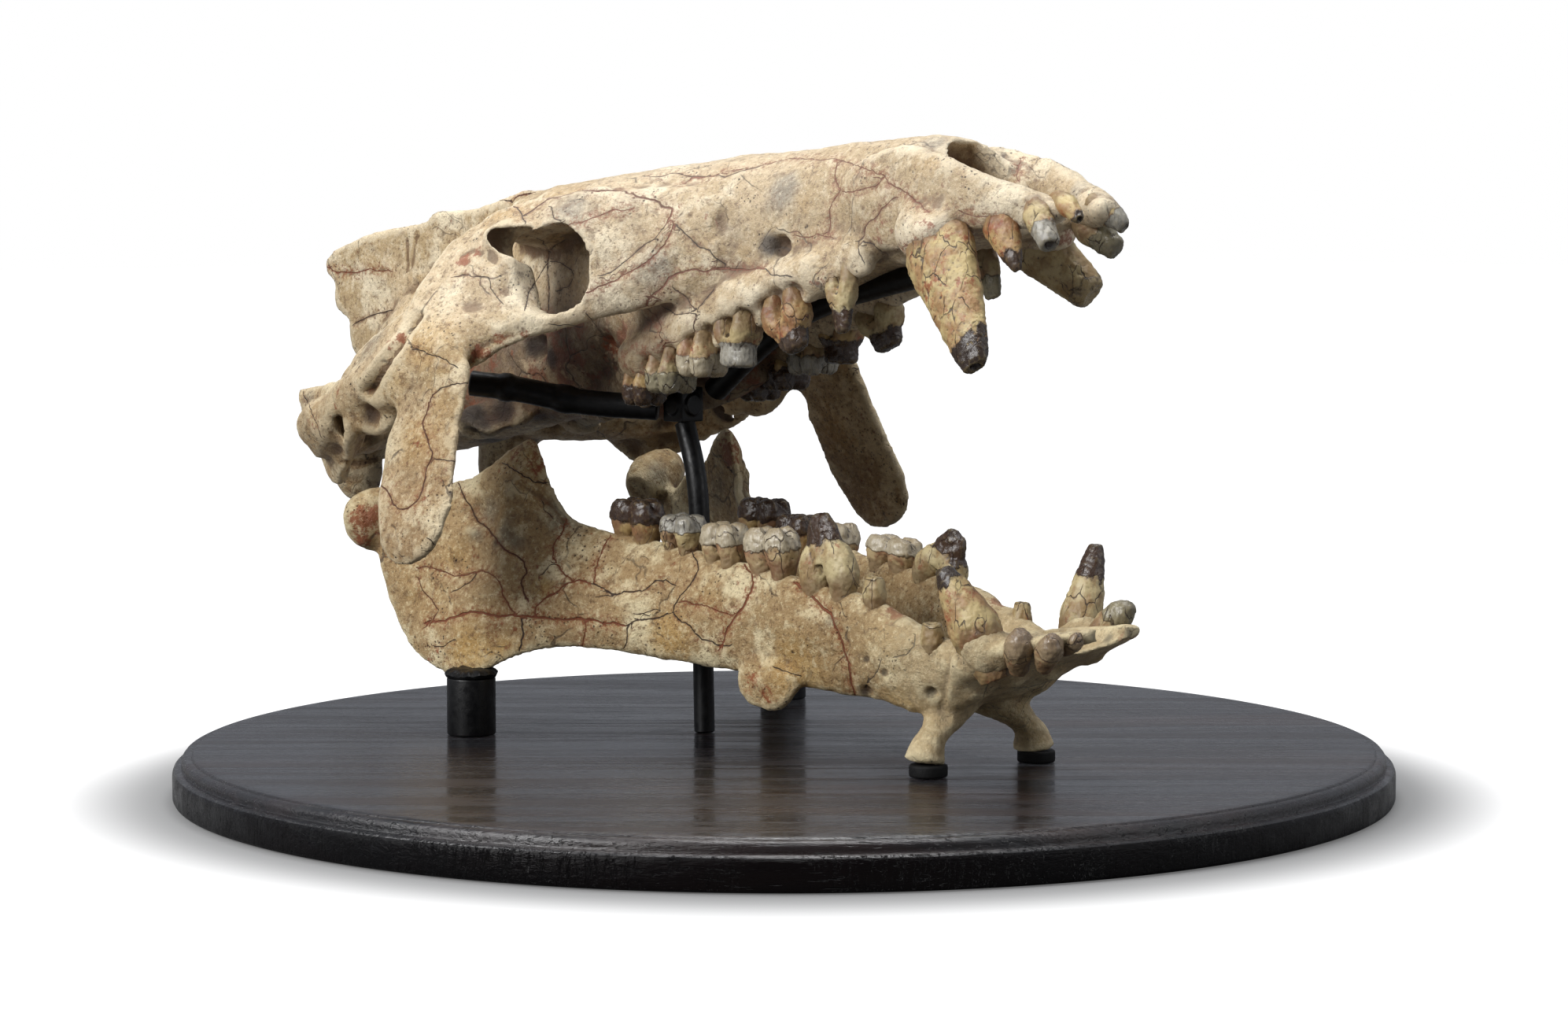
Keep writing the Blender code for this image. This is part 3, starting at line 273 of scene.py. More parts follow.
# u, v, radius in millimetres and depth in millimetres. A depth below zero raises a bump.
CRANIUM_DENTS = (
    (1006, 372, 9, 9), (986, 384, 9, 9), (972, 396, 8, 8), (946, 408, 9, 10), (922, 418, 9, 10),
    (900, 428, 9, 9), (880, 440, 9, 9), (850, 454, 9, 9), (826, 466, 8, 8), (1072, 362, 8, 4),
    (640, 312, 11, 12), (654, 302, 10, 12), (628, 326, 7, 5), (645, 365, 10, 4), (640, 345, 8, 3),
    (615, 525, 12, 10), (640, 520, 12, 8), (670, 512, 10, 5), (700, 545, 9, 6), (660, 560, 8, -4),
    (745, 560, 12, 6), (800, 575, 12, 6), (770, 530, 10, -4), (850, 560, 12, 5), (600, 555, 9, 8),
    (682, 440, 10, 12), (772, 440, 10, 7), (790, 425, 8, 3), (468, 528, 9, 9), (474, 556, 9, 9),
    (430, 575, 10, 3), (415, 600, 8, 2), (900, 392, 15, 2.5), (870, 330, 18, 1.2), (940, 270, 20, -1.2),
    (1050, 335, 13, 2.2), (1180, 292, 15, -3.5), (1150, 330, 9, -2.5), (1005, 362, 7, -2.5),
    (1095, 262, 16, -1.2), (1130, 205, 14, 1.2), (760, 285, 24, 2.2), (700, 262, 9, -1.5),
    (640, 262, 9, -2.2), (610, 298, 7, -2.5), (592, 330, 6, 2.5), (560, 300, 9, 1.4), (480, 320, 14, 1.2),
    (455, 400, 12, 1.4), (560, 440, 14, -1.6), (600, 390, 10, 1.5), (530, 560, 12, -0.8),
    (520, 620, 10, 0.8), (730, 400, 6, -1.2), (850, 300, 12, -1.2), (1200, 215, 9, -1.6),
    (1260, 240, 9, 1.4), (1010, 240, 10, 0.9),
)
MANDIBLE_DENTS = (
    (618, 662, 17, 5.5), (648, 684, 14, 4.5), (600, 648, 12, 4), (660, 650, 14, 2.5), (610, 625, 8, -2),
    (650, 622, 8, -2), (570, 805, 20, -2), (540, 765, 12, 1.5), (620, 835, 11, -1.8), (700, 622, 8, -1.4),
    (690, 655, 8, -1.5), (728, 690, 9, -1), (760, 760, 20, -1), (850, 800, 22, 1), (930, 760, 18, -1),
    (1183, 881, 4, 6), (1101, 838, 3, 3), (1124, 855, 3, 3), (1102, 880, 5, 4), (1137, 780, 7, 2.5),
    (1215, 845, 13, -3.5), (1290, 862, 9, -2), (1335, 856, 8, -2), (1250, 905, 10, 2.5),
    (1000, 790, 20, -1.2), (1060, 830, 16, 1), (1200, 915, 5, 2), (1190, 945, 6, -1.2), (965, 865, 8, -2),
    (1130, 820, 14, -1),
)
# Half width in millimetres, depth in millimetres, then u and v of each corner
CRANIUM_GROOVES = (
    (3.6, 10, 529, 403, 510, 428, 488, 460, 470, 490, 462, 503),
    (3, 2.5, 432, 588, 455, 591, 482, 585),
    (2.4, 1.6, 516, 305, 518, 345),
    (2.4, 1.4, 529, 300, 521, 342),
    (2.8, 2, 585, 325, 600, 318, 614, 322),
    (3, 2, 600, 462, 612, 440, 640, 428, 668, 420),
)
MANDIBLE_GROOVES = (
    (2.6, 1.6, 1206, 835, 1200, 870, 1196, 905),
    (2.6, 1.4, 660, 615, 700, 640, 722, 668),
)
# Width in millimetres, how red it is, then u and v of each corner
CRANIUM_CRACKS = (
    (1.9, 0.5, 668, 272, 683, 262, 698, 251, 712, 249, 725, 245, 745, 241, 761, 242, 778, 241, 794, 243,
     812, 250, 834, 255, 843, 262, 854, 265),
    (1.6, 0.9, 854, 265, 851, 277, 846, 287),
    (1.3, 0.8, 856, 283, 851, 299, 838, 318, 818, 337, 795, 348, 768, 363, 748, 372),
    (0.9, 0.3, 846, 287, 832, 303, 815, 314, 797, 330, 775, 346, 762, 352),
    (1.4, 0.4, 636, 253, 650, 256, 657, 264, 665, 276, 669, 285),
    (1.3, 0.5, 650, 256, 662, 247, 683, 244),
    (1, 0.4, 700, 262, 705, 275, 717, 286),
    (1, 0.9, 716, 288, 727, 283, 741, 281, 752, 276, 766, 272, 779, 266, 790, 268, 804, 265),
    (1.6, 0.7, 822, 390, 827, 378, 840, 368, 850, 355, 863, 346, 880, 343, 898, 345, 910, 341, 940, 343,
     972, 341),
    (1.2, 0.6, 816, 391, 830, 389, 838, 380, 822, 378),
    (1.1, 0.2, 972, 341, 981, 349, 992, 350, 1006, 352),
    (1.3, 0.4, 820, 224, 840, 224, 852, 219, 863, 220, 880, 224, 906, 222, 922, 223, 933, 220, 948, 215,
     968, 210),
    (1.2, 0.8, 868, 233, 882, 225, 903, 224, 920, 218, 950, 213),
    (0.9, 0.6, 968, 210, 998, 202, 1027, 201, 1043, 203, 1062, 201, 1078, 206, 1093, 212),
    (1.1, 0.9, 1093, 212, 1108, 217, 1124, 224, 1131, 233, 1140, 238, 1154, 247, 1163, 255, 1172, 262,
     1182, 271),
    (1.2, 0.8, 1064, 203, 1061, 215, 1062, 228, 1068, 243, 1058, 255, 1054, 267, 1056, 280, 1053, 294,
     1050, 300),
    (0.8, 0.7, 1011, 300, 1028, 302, 1040, 298, 1054, 302, 1066, 304),
    (1, 0.7, 1068, 243, 1080, 244, 1097, 241, 1110, 238, 1122, 228),
    (1.1, 0.6, 1138, 250, 1124, 262, 1112, 277, 1099, 289, 1097, 306),
    (1, 0.1, 1090, 306, 1105, 308, 1118, 318, 1128, 324),
    (1, 0.1, 1090, 306, 1093, 322, 1098, 334),
    (1, 0.3, 861, 286, 874, 300, 887, 313, 903, 319, 912, 328, 924, 339),
    (0.8, 0.1, 845, 391, 862, 400, 876, 398, 888, 400),
    (1.1, 0.4, 856, 368, 872, 378, 881, 389, 884, 403, 881, 418, 885, 426),
    (0.9, 0.5, 822, 392, 834, 402, 840, 414, 838, 426, 846, 438, 862, 434),
    (0.9, 0.2, 884, 395, 896, 380, 908, 368),
    (1.4, 0.5, 549, 502, 543, 520, 536, 538, 543, 558, 549, 575, 546, 586, 542, 595, 540, 611, 536, 624,
     528, 638, 516, 646, 506, 646, 499, 641, 494, 625, 479, 613),
    (1, 0.4, 549, 583, 565, 584, 582, 588),
    (0.9, 0.3, 600, 485, 580, 487, 562, 493, 545, 505),
    (0.8, 0.1, 545, 685, 556, 696, 564, 700),
    (1.1, 0.8, 415, 340, 430, 347, 452, 346, 470, 342, 500, 345),
    (1, 0.3, 450, 412, 470, 402, 500, 394),
    (1.2, 0.4, 578, 352, 592, 350, 606, 352, 620, 350),
    (0.9, 0.3, 620, 352, 624, 366, 630, 376, 640, 385),
    (0.9, 0.2, 528, 443, 545, 450, 562, 455, 582, 467),
    (1.5, 0.2, 697, 320, 695, 345, 698, 370, 696, 396),
    (1, 0.2, 697, 320, 690, 308, 680, 302),
    (1, 0.2, 697, 320, 706, 312, 720, 304),
    (0.8, 0.1, 700, 330, 714, 335, 726, 342, 728, 352, 722, 364, 704, 372),
    (1.3, 0.2, 668, 392, 672, 372, 684, 352, 694, 335),
    (0.8, 0.2, 700, 412, 720, 414, 742, 415),
    (0.9, 0.2, 748, 402, 757, 414, 765, 425),
    (0.9, 0.3, 385, 500, 398, 528, 408, 556),
    (1, 0.9, 1140, 318, 1155, 312, 1170, 308, 1186, 300),
    (0.9, 0.9, 1222, 270, 1240, 277, 1262, 275, 1280, 280, 1288, 290),
    (0.9, 0.9, 1296, 205, 1292, 220, 1293, 232),
)
MANDIBLE_CRACKS = (
    (1.9, 0.9, 541, 792, 556, 790, 566, 788, 579, 783, 596, 778, 614, 778, 630, 783, 655, 782, 680, 783,
     707, 787, 725, 786, 743, 787, 770, 792, 796, 794),
    (1.6, 0.9, 680, 783, 681, 771, 689, 762, 705, 753, 722, 741, 736, 738, 754, 741),
    (1.1, 0.3, 754, 741, 769, 748, 779, 754, 797, 752, 818, 751, 826, 744, 832, 738, 845, 738, 859, 744),
    (1.3, 0.8, 728, 738, 716, 728, 708, 717, 702, 707, 703, 694, 712, 680, 721, 661),
    (1.3, 0.7, 756, 737, 757, 722, 762, 708, 767, 694, 777, 679),
    (1.3, 0.6, 655, 779, 645, 765, 640, 756, 636, 745, 634, 738, 622, 728, 612, 725, 600, 728, 580, 732,
     560, 724, 545, 720, 528, 722),
    (1, 0.3, 606, 728, 598, 738, 586, 746, 574, 752),
    (1.6, 0.2, 664, 783, 663, 796, 664, 810, 661, 826),
    (1.1, 0.1, 799, 794, 796, 808, 793, 826),
    (1.2, 0.1, 796, 794, 806, 789, 822, 787, 836, 786, 851, 779),
    (1.1, 0.2, 854, 779, 858, 768, 862, 761, 876, 742, 888, 723, 884, 710, 878, 698),
    (1.2, 0.3, 854, 779, 864, 789, 875, 794, 884, 806, 897, 814, 914, 820, 930, 822),
    (1.1, 0.8, 864, 765, 882, 767, 900, 771, 918, 778, 936, 783),
    (1.6, 0.9, 945, 713, 954, 727, 957, 741, 949, 760, 939, 779, 930, 790, 922, 803, 914, 827),
    (1.2, 0.4, 584, 616, 590, 632, 600, 645, 607, 662),
    (1.6, 0.5, 607, 662, 620, 672, 630, 684, 641, 698, 656, 706, 668, 714, 668, 728, 661, 742, 666, 758,
     672, 764),
    (1, 0.9, 743, 789, 745, 800, 742, 812, 741, 826),
    (2.2, 0.9, 1012, 742, 1026, 753, 1040, 766, 1055, 781, 1064, 800, 1071, 820, 1078, 845, 1080, 862,
     1088, 888),
    (1.2, 0.3, 640, 588, 652, 596, 665, 604, 680, 614, 697, 613),
    (0.9, 0.5, 532, 736, 538, 752, 548, 762, 556, 776, 548, 790, 538, 800),
    (0.9, 0.2, 552, 823, 566, 820, 580, 812),
    (0.8, 0.1, 762, 758, 780, 756, 796, 752),
    (0.8, 0.1, 808, 780, 822, 778, 836, 773),
    (1.1, 0.2, 1042, 722, 1046, 738, 1056, 748, 1062, 756),
    (0.9, 0.1, 1104, 862, 1100, 872, 1112, 856, 1120, 838),
    (1.2, 0.2, 1250, 884, 1256, 870, 1258, 858, 1268, 850),
    (1, 0.1, 1140, 836, 1152, 832, 1162, 822, 1162, 806),
    (1, 0.1, 985, 848, 1000, 854, 1018, 860),
    (0.8, 0.3, 690, 640, 694, 652, 704, 658),
    (0.8, 0.2, 704, 716, 694, 722, 686, 730),
)
# u, v, radius in millimetres and strength, for each kind of stain and for the painted shade listed as dark
CRANIUM_STAINS_AND_SHADE = {
    "red": (
        (545, 560, 26, 0.42), (530, 640, 26, 0.45), (1200, 240, 22, 0.42), (1160, 300, 18, 0.45),
        (1250, 300, 16, 0.5), (1340, 200, 22, 0.42), (690, 235, 20, 0.36), (480, 330, 28, 0.34),
        (590, 330, 8, 0.9), (606, 322, 6, 0.9), (612, 448, 10, 0.8), (640, 432, 9, 0.7), (668, 424, 7, 0.6),
        (512, 428, 5, 1), (500, 440, 4, 0.9), (778, 436, 9, 0.9), (860, 262, 6, 0.4), (1120, 292, 16, 0.55),
        (1140, 262, 10, 0.5), (1176, 285, 8, 0.7), (1225, 300, 16, 0.7), (1290, 205, 10, 0.5),
        (1370, 212, 20, 0.4), (560, 600, 12, 0.35), (500, 620, 12, 0.4), (560, 300, 14, 0.3),
        (1060, 203, 10, 0.35), (425, 330, 10, 0.3), (440, 610, 14, 0.4), (395, 540, 8, 0.5),
        (1040, 352, 12, 0.5), (870, 232, 14, 0.35), (500, 475, 10, 0.3), (840, 470, 8, 0.5),
        (830, 548, 16, 0.5), (760, 570, 12, 0.4),
    ),
    "grey": (
        (995, 238, 14, 1), (730, 262, 20, 0.8), (800, 262, 16, 0.6), (830, 345, 16, 0.7),
        (930, 295, 22, 0.45), (1000, 318, 10, 0.5), (470, 440, 20, 0.8), (392, 510, 14, 0.9),
        (1190, 185, 14, 0.7), (1192, 298, 10, 1), (1368, 240, 12, 1), (560, 455, 18, 0.3),
        (740, 330, 14, 0.3), (900, 420, 14, 0.4), (1060, 480, 20, 0.3),
    ),
    "ochre": (
        (540, 430, 26, 0.7), (500, 480, 18, 0.6), (520, 560, 22, 0.6), (780, 300, 22, 0.35),
        (1020, 260, 12, 0.5), (1180, 200, 20, 0.5), (480, 300, 24, 0.4), (1130, 560, 40, 0.4),
        (880, 260, 16, 0.3),
    ),
    # dark is painted shade: the eye socket's pocket, dents and the recess under the cheek
    "dark": (
        (700, 455, 9, 1.3), (690, 430, 7, 1.2), (600, 525, 14, 1.3), (625, 560, 14, 1), (645, 308, 10, 0.6),
        (682, 440, 11, 1.3), (720, 440, 16, 0.45), (790, 440, 8, 0.7), (470, 530, 9, 0.9),
        (474, 560, 9, 0.9), (978, 312, 9, 1.3), (490, 460, 4, 0.9), (472, 490, 4, 1), (445, 600, 12, 0.6),
        (740, 398, 10, 0.3), (1210, 340, 9, 0.6), (640, 520, 20, 1), (610, 540, 14, 1), (690, 530, 16, 0.8),
        (740, 520, 16, 0.6), (800, 530, 18, 0.45), (620, 560, 14, 0.7), (660, 465, 16, 0.5),
        (720, 470, 20, 0.6), (770, 470, 12, 0.5),
    ),
}
MANDIBLE_STAINS_AND_SHADE = {
    "red": (
        (470, 770, 30, 0.4), (560, 830, 30, 0.42), (700, 720, 30, 0.36), (800, 830, 26, 0.36),
        (640, 800, 26, 0.4), (955, 880, 10, 0.6), (1010, 700, 14, 0.4), (466, 660, 14, 1),
        (460, 690, 10, 0.8), (678, 562, 8, 0.7), (655, 575, 8, 0.6), (925, 575, 14, 0.9),
        (955, 865, 14, 0.6), (975, 885, 14, 0.6), (1137, 780, 9, 0.9), (1115, 760, 10, 0.5),
        (760, 805, 16, 0.45), (700, 800, 14, 0.35), (850, 720, 12, 0.5), (560, 760, 14, 0.45),
        (540, 740, 10, 0.5), (600, 700, 14, 0.4), (885, 795, 12, 0.4), (500, 690, 14, 0.5),
        (1250, 870, 12, 0.4), (1370, 820, 10, 0.7), (690, 740, 12, 0.4),
    ),
    "grey": (
        # The first five grey places, in the hollow of the ramus, are grey-blue stain and painted shade
        # together
        (622, 650, 16, 1), (640, 675, 16, 1.1), (606, 680, 12, 1), (655, 690, 10, 0.9), (590, 650, 12, 0.7),
        (660, 640, 16, 0.5), (840, 600, 16, 0.7), (940, 630, 20, 0.8), (830, 640, 18, 0.4),
        (1055, 790, 6, 0.7), (700, 625, 16, 0.4),
    ),
    "ochre": (
        (600, 840, 24, 0.9), (640, 830, 16, 0.7), (580, 710, 20, 0.5), (850, 810, 24, 0.7),
        (1010, 850, 30, 0.7), (1150, 900, 24, 0.7), (690, 745, 10, 0.7), (1120, 820, 30, 0.4),
        (560, 640, 20, 0.4), (900, 760, 20, 0.4),
    ),
    # dark is painted shade: the holes of the chin and jaw, and the chin's side away from the key lamp
    "dark": (
        (1183, 881, 4, 1.3), (1101, 838, 2.5, 1.2), (1124, 855, 2.5, 1.2), (1099, 880, 5, 1.1),
        (630, 690, 5, 0.8), (800, 600, 10, 0.4), (1300, 870, 20, 0.45), (1345, 845, 14, 0.4),
        (1265, 925, 14, 0.5), (1409, 811, 4, 1.2), (1432, 804, 4, 1.2),
    ),
}


# The camera and its pixels


def photo_axes():
    """Right, up and forward of the camera, and its place, in the row frame."""
    turn = Matrix.Rotation(HEADING, 3, "Z")
    dip = Matrix.Rotation(-CAMERA_DOWN, 3, "X")
    right, forward, up = (turn @ dip @ Vector(way) for way in ((1, 0, 0), (0, 1, 0), (0, 0, 1)))
    return right, up, forward, turn @ Vector((0, -CAMERA_BACK, CAMERA_HEIGHT))


RIGHT, UP, FORWARD, CAMERA_PLACE = photo_axes()


def add_camera():
    data = bpy.data.cameras.new("camera")
    data.sensor_width = 36.0
    data.lens = FOCAL_PIXELS * data.sensor_width / PHOTO_WIDTH
    data.clip_start, data.clip_end = 0.05, 60.0
    camera = bpy.data.objects.new("camera", data)
    bpy.context.scene.collection.objects.link(camera)
    turned_axes = Matrix((RIGHT, UP, -FORWARD)).transposed()
    camera.matrix_world = Matrix.Translation(CAMERA_PLACE) @ turned_axes.to_4x4()
    bpy.context.scene.camera = camera


def pixel_way(u, v):
    """The direction from the camera through a pixel of the photograph."""
    across = (u - PHOTO_WIDTH / 2) / FOCAL_PIXELS
    above = (PHOTO_HEIGHT / 2 - v) / FOCAL_PIXELS
    return (FORWARD + RIGHT * across + UP * above).normalized()


def seen_at(tree, u, v):
    """Point, normal and distance of the surface that the photograph shows at a pixel, or None."""
    point, normal, _, distance = tree.ray_cast(CAMERA_PLACE, pixel_way(u, v))
    return None if point is None else (point, normal, distance)


# Meshes


def smooth_rows(rows, steps):
    """The rows with smooth ones put between them, as a Catmull-Rom curve runs."""
    rows = np.array(rows, float)
    padded = np.vstack([2 * rows[0] - rows[1], rows, 2 * rows[-1] - rows[-2]])
    found = []
    for before, start, end, after in zip(padded, padded[1:], padded[2:], padded[3:]):
        for t in np.arange(steps) / steps:
            linear = (end - before) * t
            square = (2 * before - 5 * start + 4 * end - after) * t**2
            cube = (3 * start - before - 3 * end + after) * t**3
            found.append(0.5 * (2 * start + linear + square + cube))
    return np.array([*found, rows[-1]])


def piece_from(name, build):
    """A new object whose mesh the function build fills."""
    mesh = bpy.data.meshes.new(name)
    work = bmesh.new()
    build(work)
    bmesh.ops.recalc_face_normals(work, faces=work.faces)
    work.to_mesh(mesh)
    work.free()
    made = bpy.data.objects.new(name, mesh)
    bpy.context.scene.collection.objects.link(made)
    mesh.shade_smooth()
    return made


def add_rings(work, rings):
    """A closed skin through rings of points, with a point in the middle of each end."""
    loops = [[work.verts.new(point) for point in ring] for ring in rings]
    for first, second in zip(loops, loops[1:]):
        for i, corner in enumerate(first):
            j = (i + 1) % len(first)
            work.faces.new((corner, first[j], second[j], second[i]))
    for loop, ring in ((loops[0], rings[0]), (loops[-1], rings[-1])):
        middle = work.verts.new(np.mean(ring, axis=0))
        for i, corner in enumerate(loop):
            work.faces.new((middle, corner, loop[(i + 1) % len(loop)]))


def turned(sides):
    angle = np.linspace(0, 2 * math.pi, sides, endpoint=False)
    return np.cos(angle), np.sin(angle)


def squarer(values, power=0.75):
    return np.sign(values) * np.abs(values) ** power


def body_rings(rows, sides=32):
    """Upright rings across X for a trunk of bone that is the same on both sides."""
    across, height = (squarer(part) for part in turned(sides))
    for x, low, high, half, taper in smooth_rows(rows, 6):
        share = (1 + height) / 2
        y = half * (1 - taper * share) * across
        z = low + (high - low) * share
        yield np.stack([np.full(sides, x), y, z], axis=1)


def blade_rings(rows, sides=24):
    """Upright rings across X for a standing blade of bone that may lean."""
    across, height = turned(sides)
    for x, low, high, low_y, high_y, half in smooth_rows(rows, 6):
        share = (1 + height) / 2
        y = low_y + (high_y - low_y) * share + half * across
        z = low + (high - low) * share
        yield np.stack([np.full(sides, x), y, z], axis=1)


def tube_rings(rows, sides=20, aside=(0, 1, 0), steps=6):
    """Rings square to a curved centre line. The half width is measured towards aside."""
    path = smooth_rows(rows, steps)
    centres = path[:, :3]
    ways = np.gradient(centres, axis=0)
    cosine, sine = turned(sides)
    for (x, y, z, half, upright), way in zip(path, ways):
        forward = Vector(way).normalized()
        across = Vector(aside)
        across = (across - forward * across.dot(forward)).normalized()
        up = forward.cross(across)
        yield [Vector((x, y, z)) + across * half * c + up * upright * s for c, s in zip(cosine, sine)]


def mirrored(rings):
    return [[(x, -y, z) for x, y, z in ring] for ring in rings]


def add_both_sides(work, rings):
    rings = list(rings)
    add_rings(work, rings)
    add_rings(work, mirrored(rings))


def add_plate(work, outline, half):
    """A flat upright plate in the mid-plane."""
    sides = [[work.verts.new((x, y, z)) for x, z in outline] for y in (-half, half)]
    work.faces.new(sides[0])
    work.faces.new(reversed(sides[1]))
    for i, corner in enumerate(sides[0]):
        j = (i + 1) % len(outline)
        work.faces.new((corner, sides[0][j], sides[1][j], sides[1][i]))


def add_ball(work, centre, radii, turn=0.0):
    matrix = Matrix.Translation(centre) @ Matrix.Rotation(turn, 4, "Y") @ Matrix.Diagonal((*radii, 1))
    bmesh.ops.create_icosphere(work, subdivisions=4, radius=1, matrix=matrix)


def add_hollows(work, paired, middle):
    for side in (-1, 1):
        for x, y, z, *radii, turn in paired:
            add_ball(work, (x, y * side, z), radii, turn)
    for *centre, a, b, c, turn in middle:
        add_ball(work, centre, (a, b, c), turn)


def remeshed(piece, voxel):
    modifier = piece.modifiers.new("fuse", "REMESH")
    modifier.mode = "VOXEL"
    modifier.voxel_size = voxel


def softened(piece, times):
    modifier = piece.modifiers.new("soften", "SMOOTH")
    modifier.iterations = times


def hollowed(piece, cutter):
    modifier = piece.modifiers.new("hollow", "BOOLEAN")
    modifier.operation = "DIFFERENCE"
    modifier.solver = "EXACT"
    modifier.object = cutter


def bake_modifiers(piece):
    """The piece with the mesh that its modifiers leave."""
    graph = bpy.context.evaluated_depsgraph_get()
    mesh = bpy.data.meshes.new_from_object(piece.evaluated_get(graph))
    piece.modifiers.clear()
    piece.data = mesh


def keep_largest(mesh):
    """Drops every loose chip of the mesh, and any sealed hollow."""
    work = bmesh.new()
    work.from_mesh(mesh)
    left = set(work.verts)
    parts = []
    while left:
        part, edge = set(), [left.pop()]
        while edge:
            corner = edge.pop()
            part.add(corner)
            near = {link.other_vert(corner) for link in corner.link_edges} & left
            left -= near
            edge.extend(near)
        parts.append(part)
    parts.sort(key=len)
    bmesh.ops.delete(work, geom=[corner for part in parts[:-1] for corner in part], context="VERTS")
    work.to_mesh(mesh)
    work.free()


# Work on the points of a mesh


def array_of(items, field, width, kind=np.float32):
    values = np.empty(len(items) * width, kind)
    items.foreach_get(field, values)
    return values.reshape(-1, width)


def points_of(mesh):
    return array_of(mesh.vertices, "co", 3)


def normals_of(mesh):
    return array_of(mesh.vertex_normals, "vector", 3)


def edges_of(mesh):
    return array_of(mesh.edges, "vertices", 2, np.int32)


def set_points(mesh, points):
    mesh.vertices.foreach_set("co", np.asarray(points, np.float32).ravel())
    mesh.update()


def write_values(mesh, name, values):
    made = mesh.attributes.new(name, "FLOAT", "POINT")
    made.data.foreach_set("value", np.asarray(values, np.float32))


def relaxed(points, ends, times):
    """The points after each has moved to the mean of its neighbours this many times."""
    here, there = ends.ravel(), ends[:, ::-1].ravel()
    share = np.maximum(np.bincount(here, minlength=len(points)), 1)
    for _ in range(times):
        axes = [np.bincount(here, points[there, i], len(points)) / share for i in range(3)]
        points = np.stack(axes, axis=1)
    return points


def hollowness(mesh, times):
    """How far each point lies below its surroundings, in metres. Ridges are below zero."""
    points = points_of(mesh)
    level = relaxed(points.astype(float), edges_of(mesh), times)
    return ((level - points) * normals_of(mesh)).sum(axis=1)


def lumps(points, size, seed):
    """Smooth noise from about -1 to 1, with lumps of this size in metres."""
    start = Vector((seed * 7.31, seed * 3.17, seed * 5.77))
    places = [Vector(point) / size + start for point in points]
    return np.array([noise.fractal(place, 1.0, 2.0, 4, noise_basis="PERLIN_NEW") for place in places])


def roughened(mesh, layers):
    """Pushes points out and in along their normals. Each layer is lump size and height, in metres."""
    points, normals = points_of(mesh), normals_of(mesh)
    push = sum(height * lumps(points, size, seed) for seed, (size, height) in enumerate(layers, 1))
    set_points(mesh, points + normals * push[:, None])


def tree_of(mesh):
    corners = [v.co.copy() for v in mesh.vertices]
    return BVHTree.FromPolygons(corners, [p.vertices[:] for p in mesh.polygons])


def finder_of(places):
    """A tree that finds the nearest of these places."""
    finder = KDTree(len(places))
    for i, place in enumerate(places):
        finder.insert(place, i)
    finder.balance()
    return finder


def other_side(point):
    return Vector((point.x, 2 * MID_Y - point.y, point.z))


def both_places(tree, rows):
    """Place, normal and the row's other numbers for each row of u, v, ..., and the same on the far side."""
    for u, v, *rest in rows:
        found = seen_at(tree, u, v)
        if found:
            place, normal, _ = found
            yield place, normal, rest
            yield other_side(place), normal * Vector((1, -1, 1)), rest


# How fast a dent and a smoothed place fade with the distance from their centre, in radii
DENT_FALL, DENT_REACH, MELT_FALL = 1.5, 2.2, 1.6


def far_from(points, centre, millimetres):
    """How far the points lie from a centre, in steps of this many millimetres."""
    return np.linalg.norm(points - np.array(centre), axis=1) / (millimetres / 1000)


def dented(mesh, dents):
    """Presses the mesh in at pixels of the photograph, and at the same places on the far side.

    Each dent is u, v, radius and depth in millimetres; a depth below zero raises a bump.
    """
    tree = tree_of(mesh)
    points = points_of(mesh).astype(float)
    move = np.zeros_like(points)
    for centre, way, (radius, depth) in both_places(tree, dents):
        distance = far_from(points, centre, radius)
        share = np.exp(-(distance**2) * DENT_FALL) * (distance < DENT_REACH)
        move -= share[:, None] * np.array(way) * (depth / 1000)
    set_points(mesh, points + move)


def melted(mesh, places):
    """Smooths the mesh strongly round pixels of the photograph, and at the same places on the far side.

    Each place is u, v, radius in millimetres and how many times.
    """
    tree, ends = tree_of(mesh), edges_of(mesh)
    points = points_of(mesh).astype(float)
    for u, v, radius, times in places:
        found = seen_at(tree, u, v)
        if not found:
            continue
        share = np.zeros(len(points))
        for centre in (found[0], other_side(found[0])):
            share = np.maximum(share, np.clip(MELT_FALL * (1 - far_from(points, centre, radius)), 0, 1))
        near = (share > 0)[ends].all(axis=1)
        index = np.flatnonzero(share > 0)
        place_of = np.full(len(points), -1)
        place_of[index] = np.arange(len(index))
        level = relaxed(points[index], place_of[ends[near]], times)
        points[index] += (level - points[index]) * share[index, None]
    set_points(mesh, points)


# Cracks, stains and painted shade

PIXELS_A_STEP = 1.6
LARGEST_JUMP = 0.012          # a crack that jumps further away than this has run off an edge
CRACK_NARROWING = 1.3
CRACK_LIP, CRACK_DEPTH = 0.0008, 0.55
# The far side has the near side's cracks, pushed about and less red
FAR_DRIFT, FAR_DRIFT_SCALE, FAR_REDNESS = 0.012, 22, 0.6


def crack_line(tree, corners, wobble=0.0007):
    """Points about 1 mm apart where the photograph shows the crack, with the way it runs at each."""
    corners = np.reshape(corners, (-1, 2)).astype(float)
    pixels = []
    for start, end in zip(corners, corners[1:]):
        steps = max(1, int(math.dist(start, end) / PIXELS_A_STEP))
        pixels += [start + (end - start) * i / steps for i in range(steps)]
    line, last = [], None
    for u, v in pixels:
        found = seen_at(tree, u, v)
        if not found or (last is not None and abs(found[2] - last) > LARGEST_JUMP):
            last = found[2] if found else None
            line.append(None)
            continue
        point, normal, last = found
        shake = noise.noise_vector(point * 150) * 1.6 + noise.noise_vector(point * 420)
        line.append(point + (shake - normal * shake.dot(normal)) * wobble)
    run = []
    for here, there in zip(line, line[1:]):
        if here is not None and there is not None and (there - here).length > 1e-6:
            run.append((here, (there - here).normalized()))
    return run


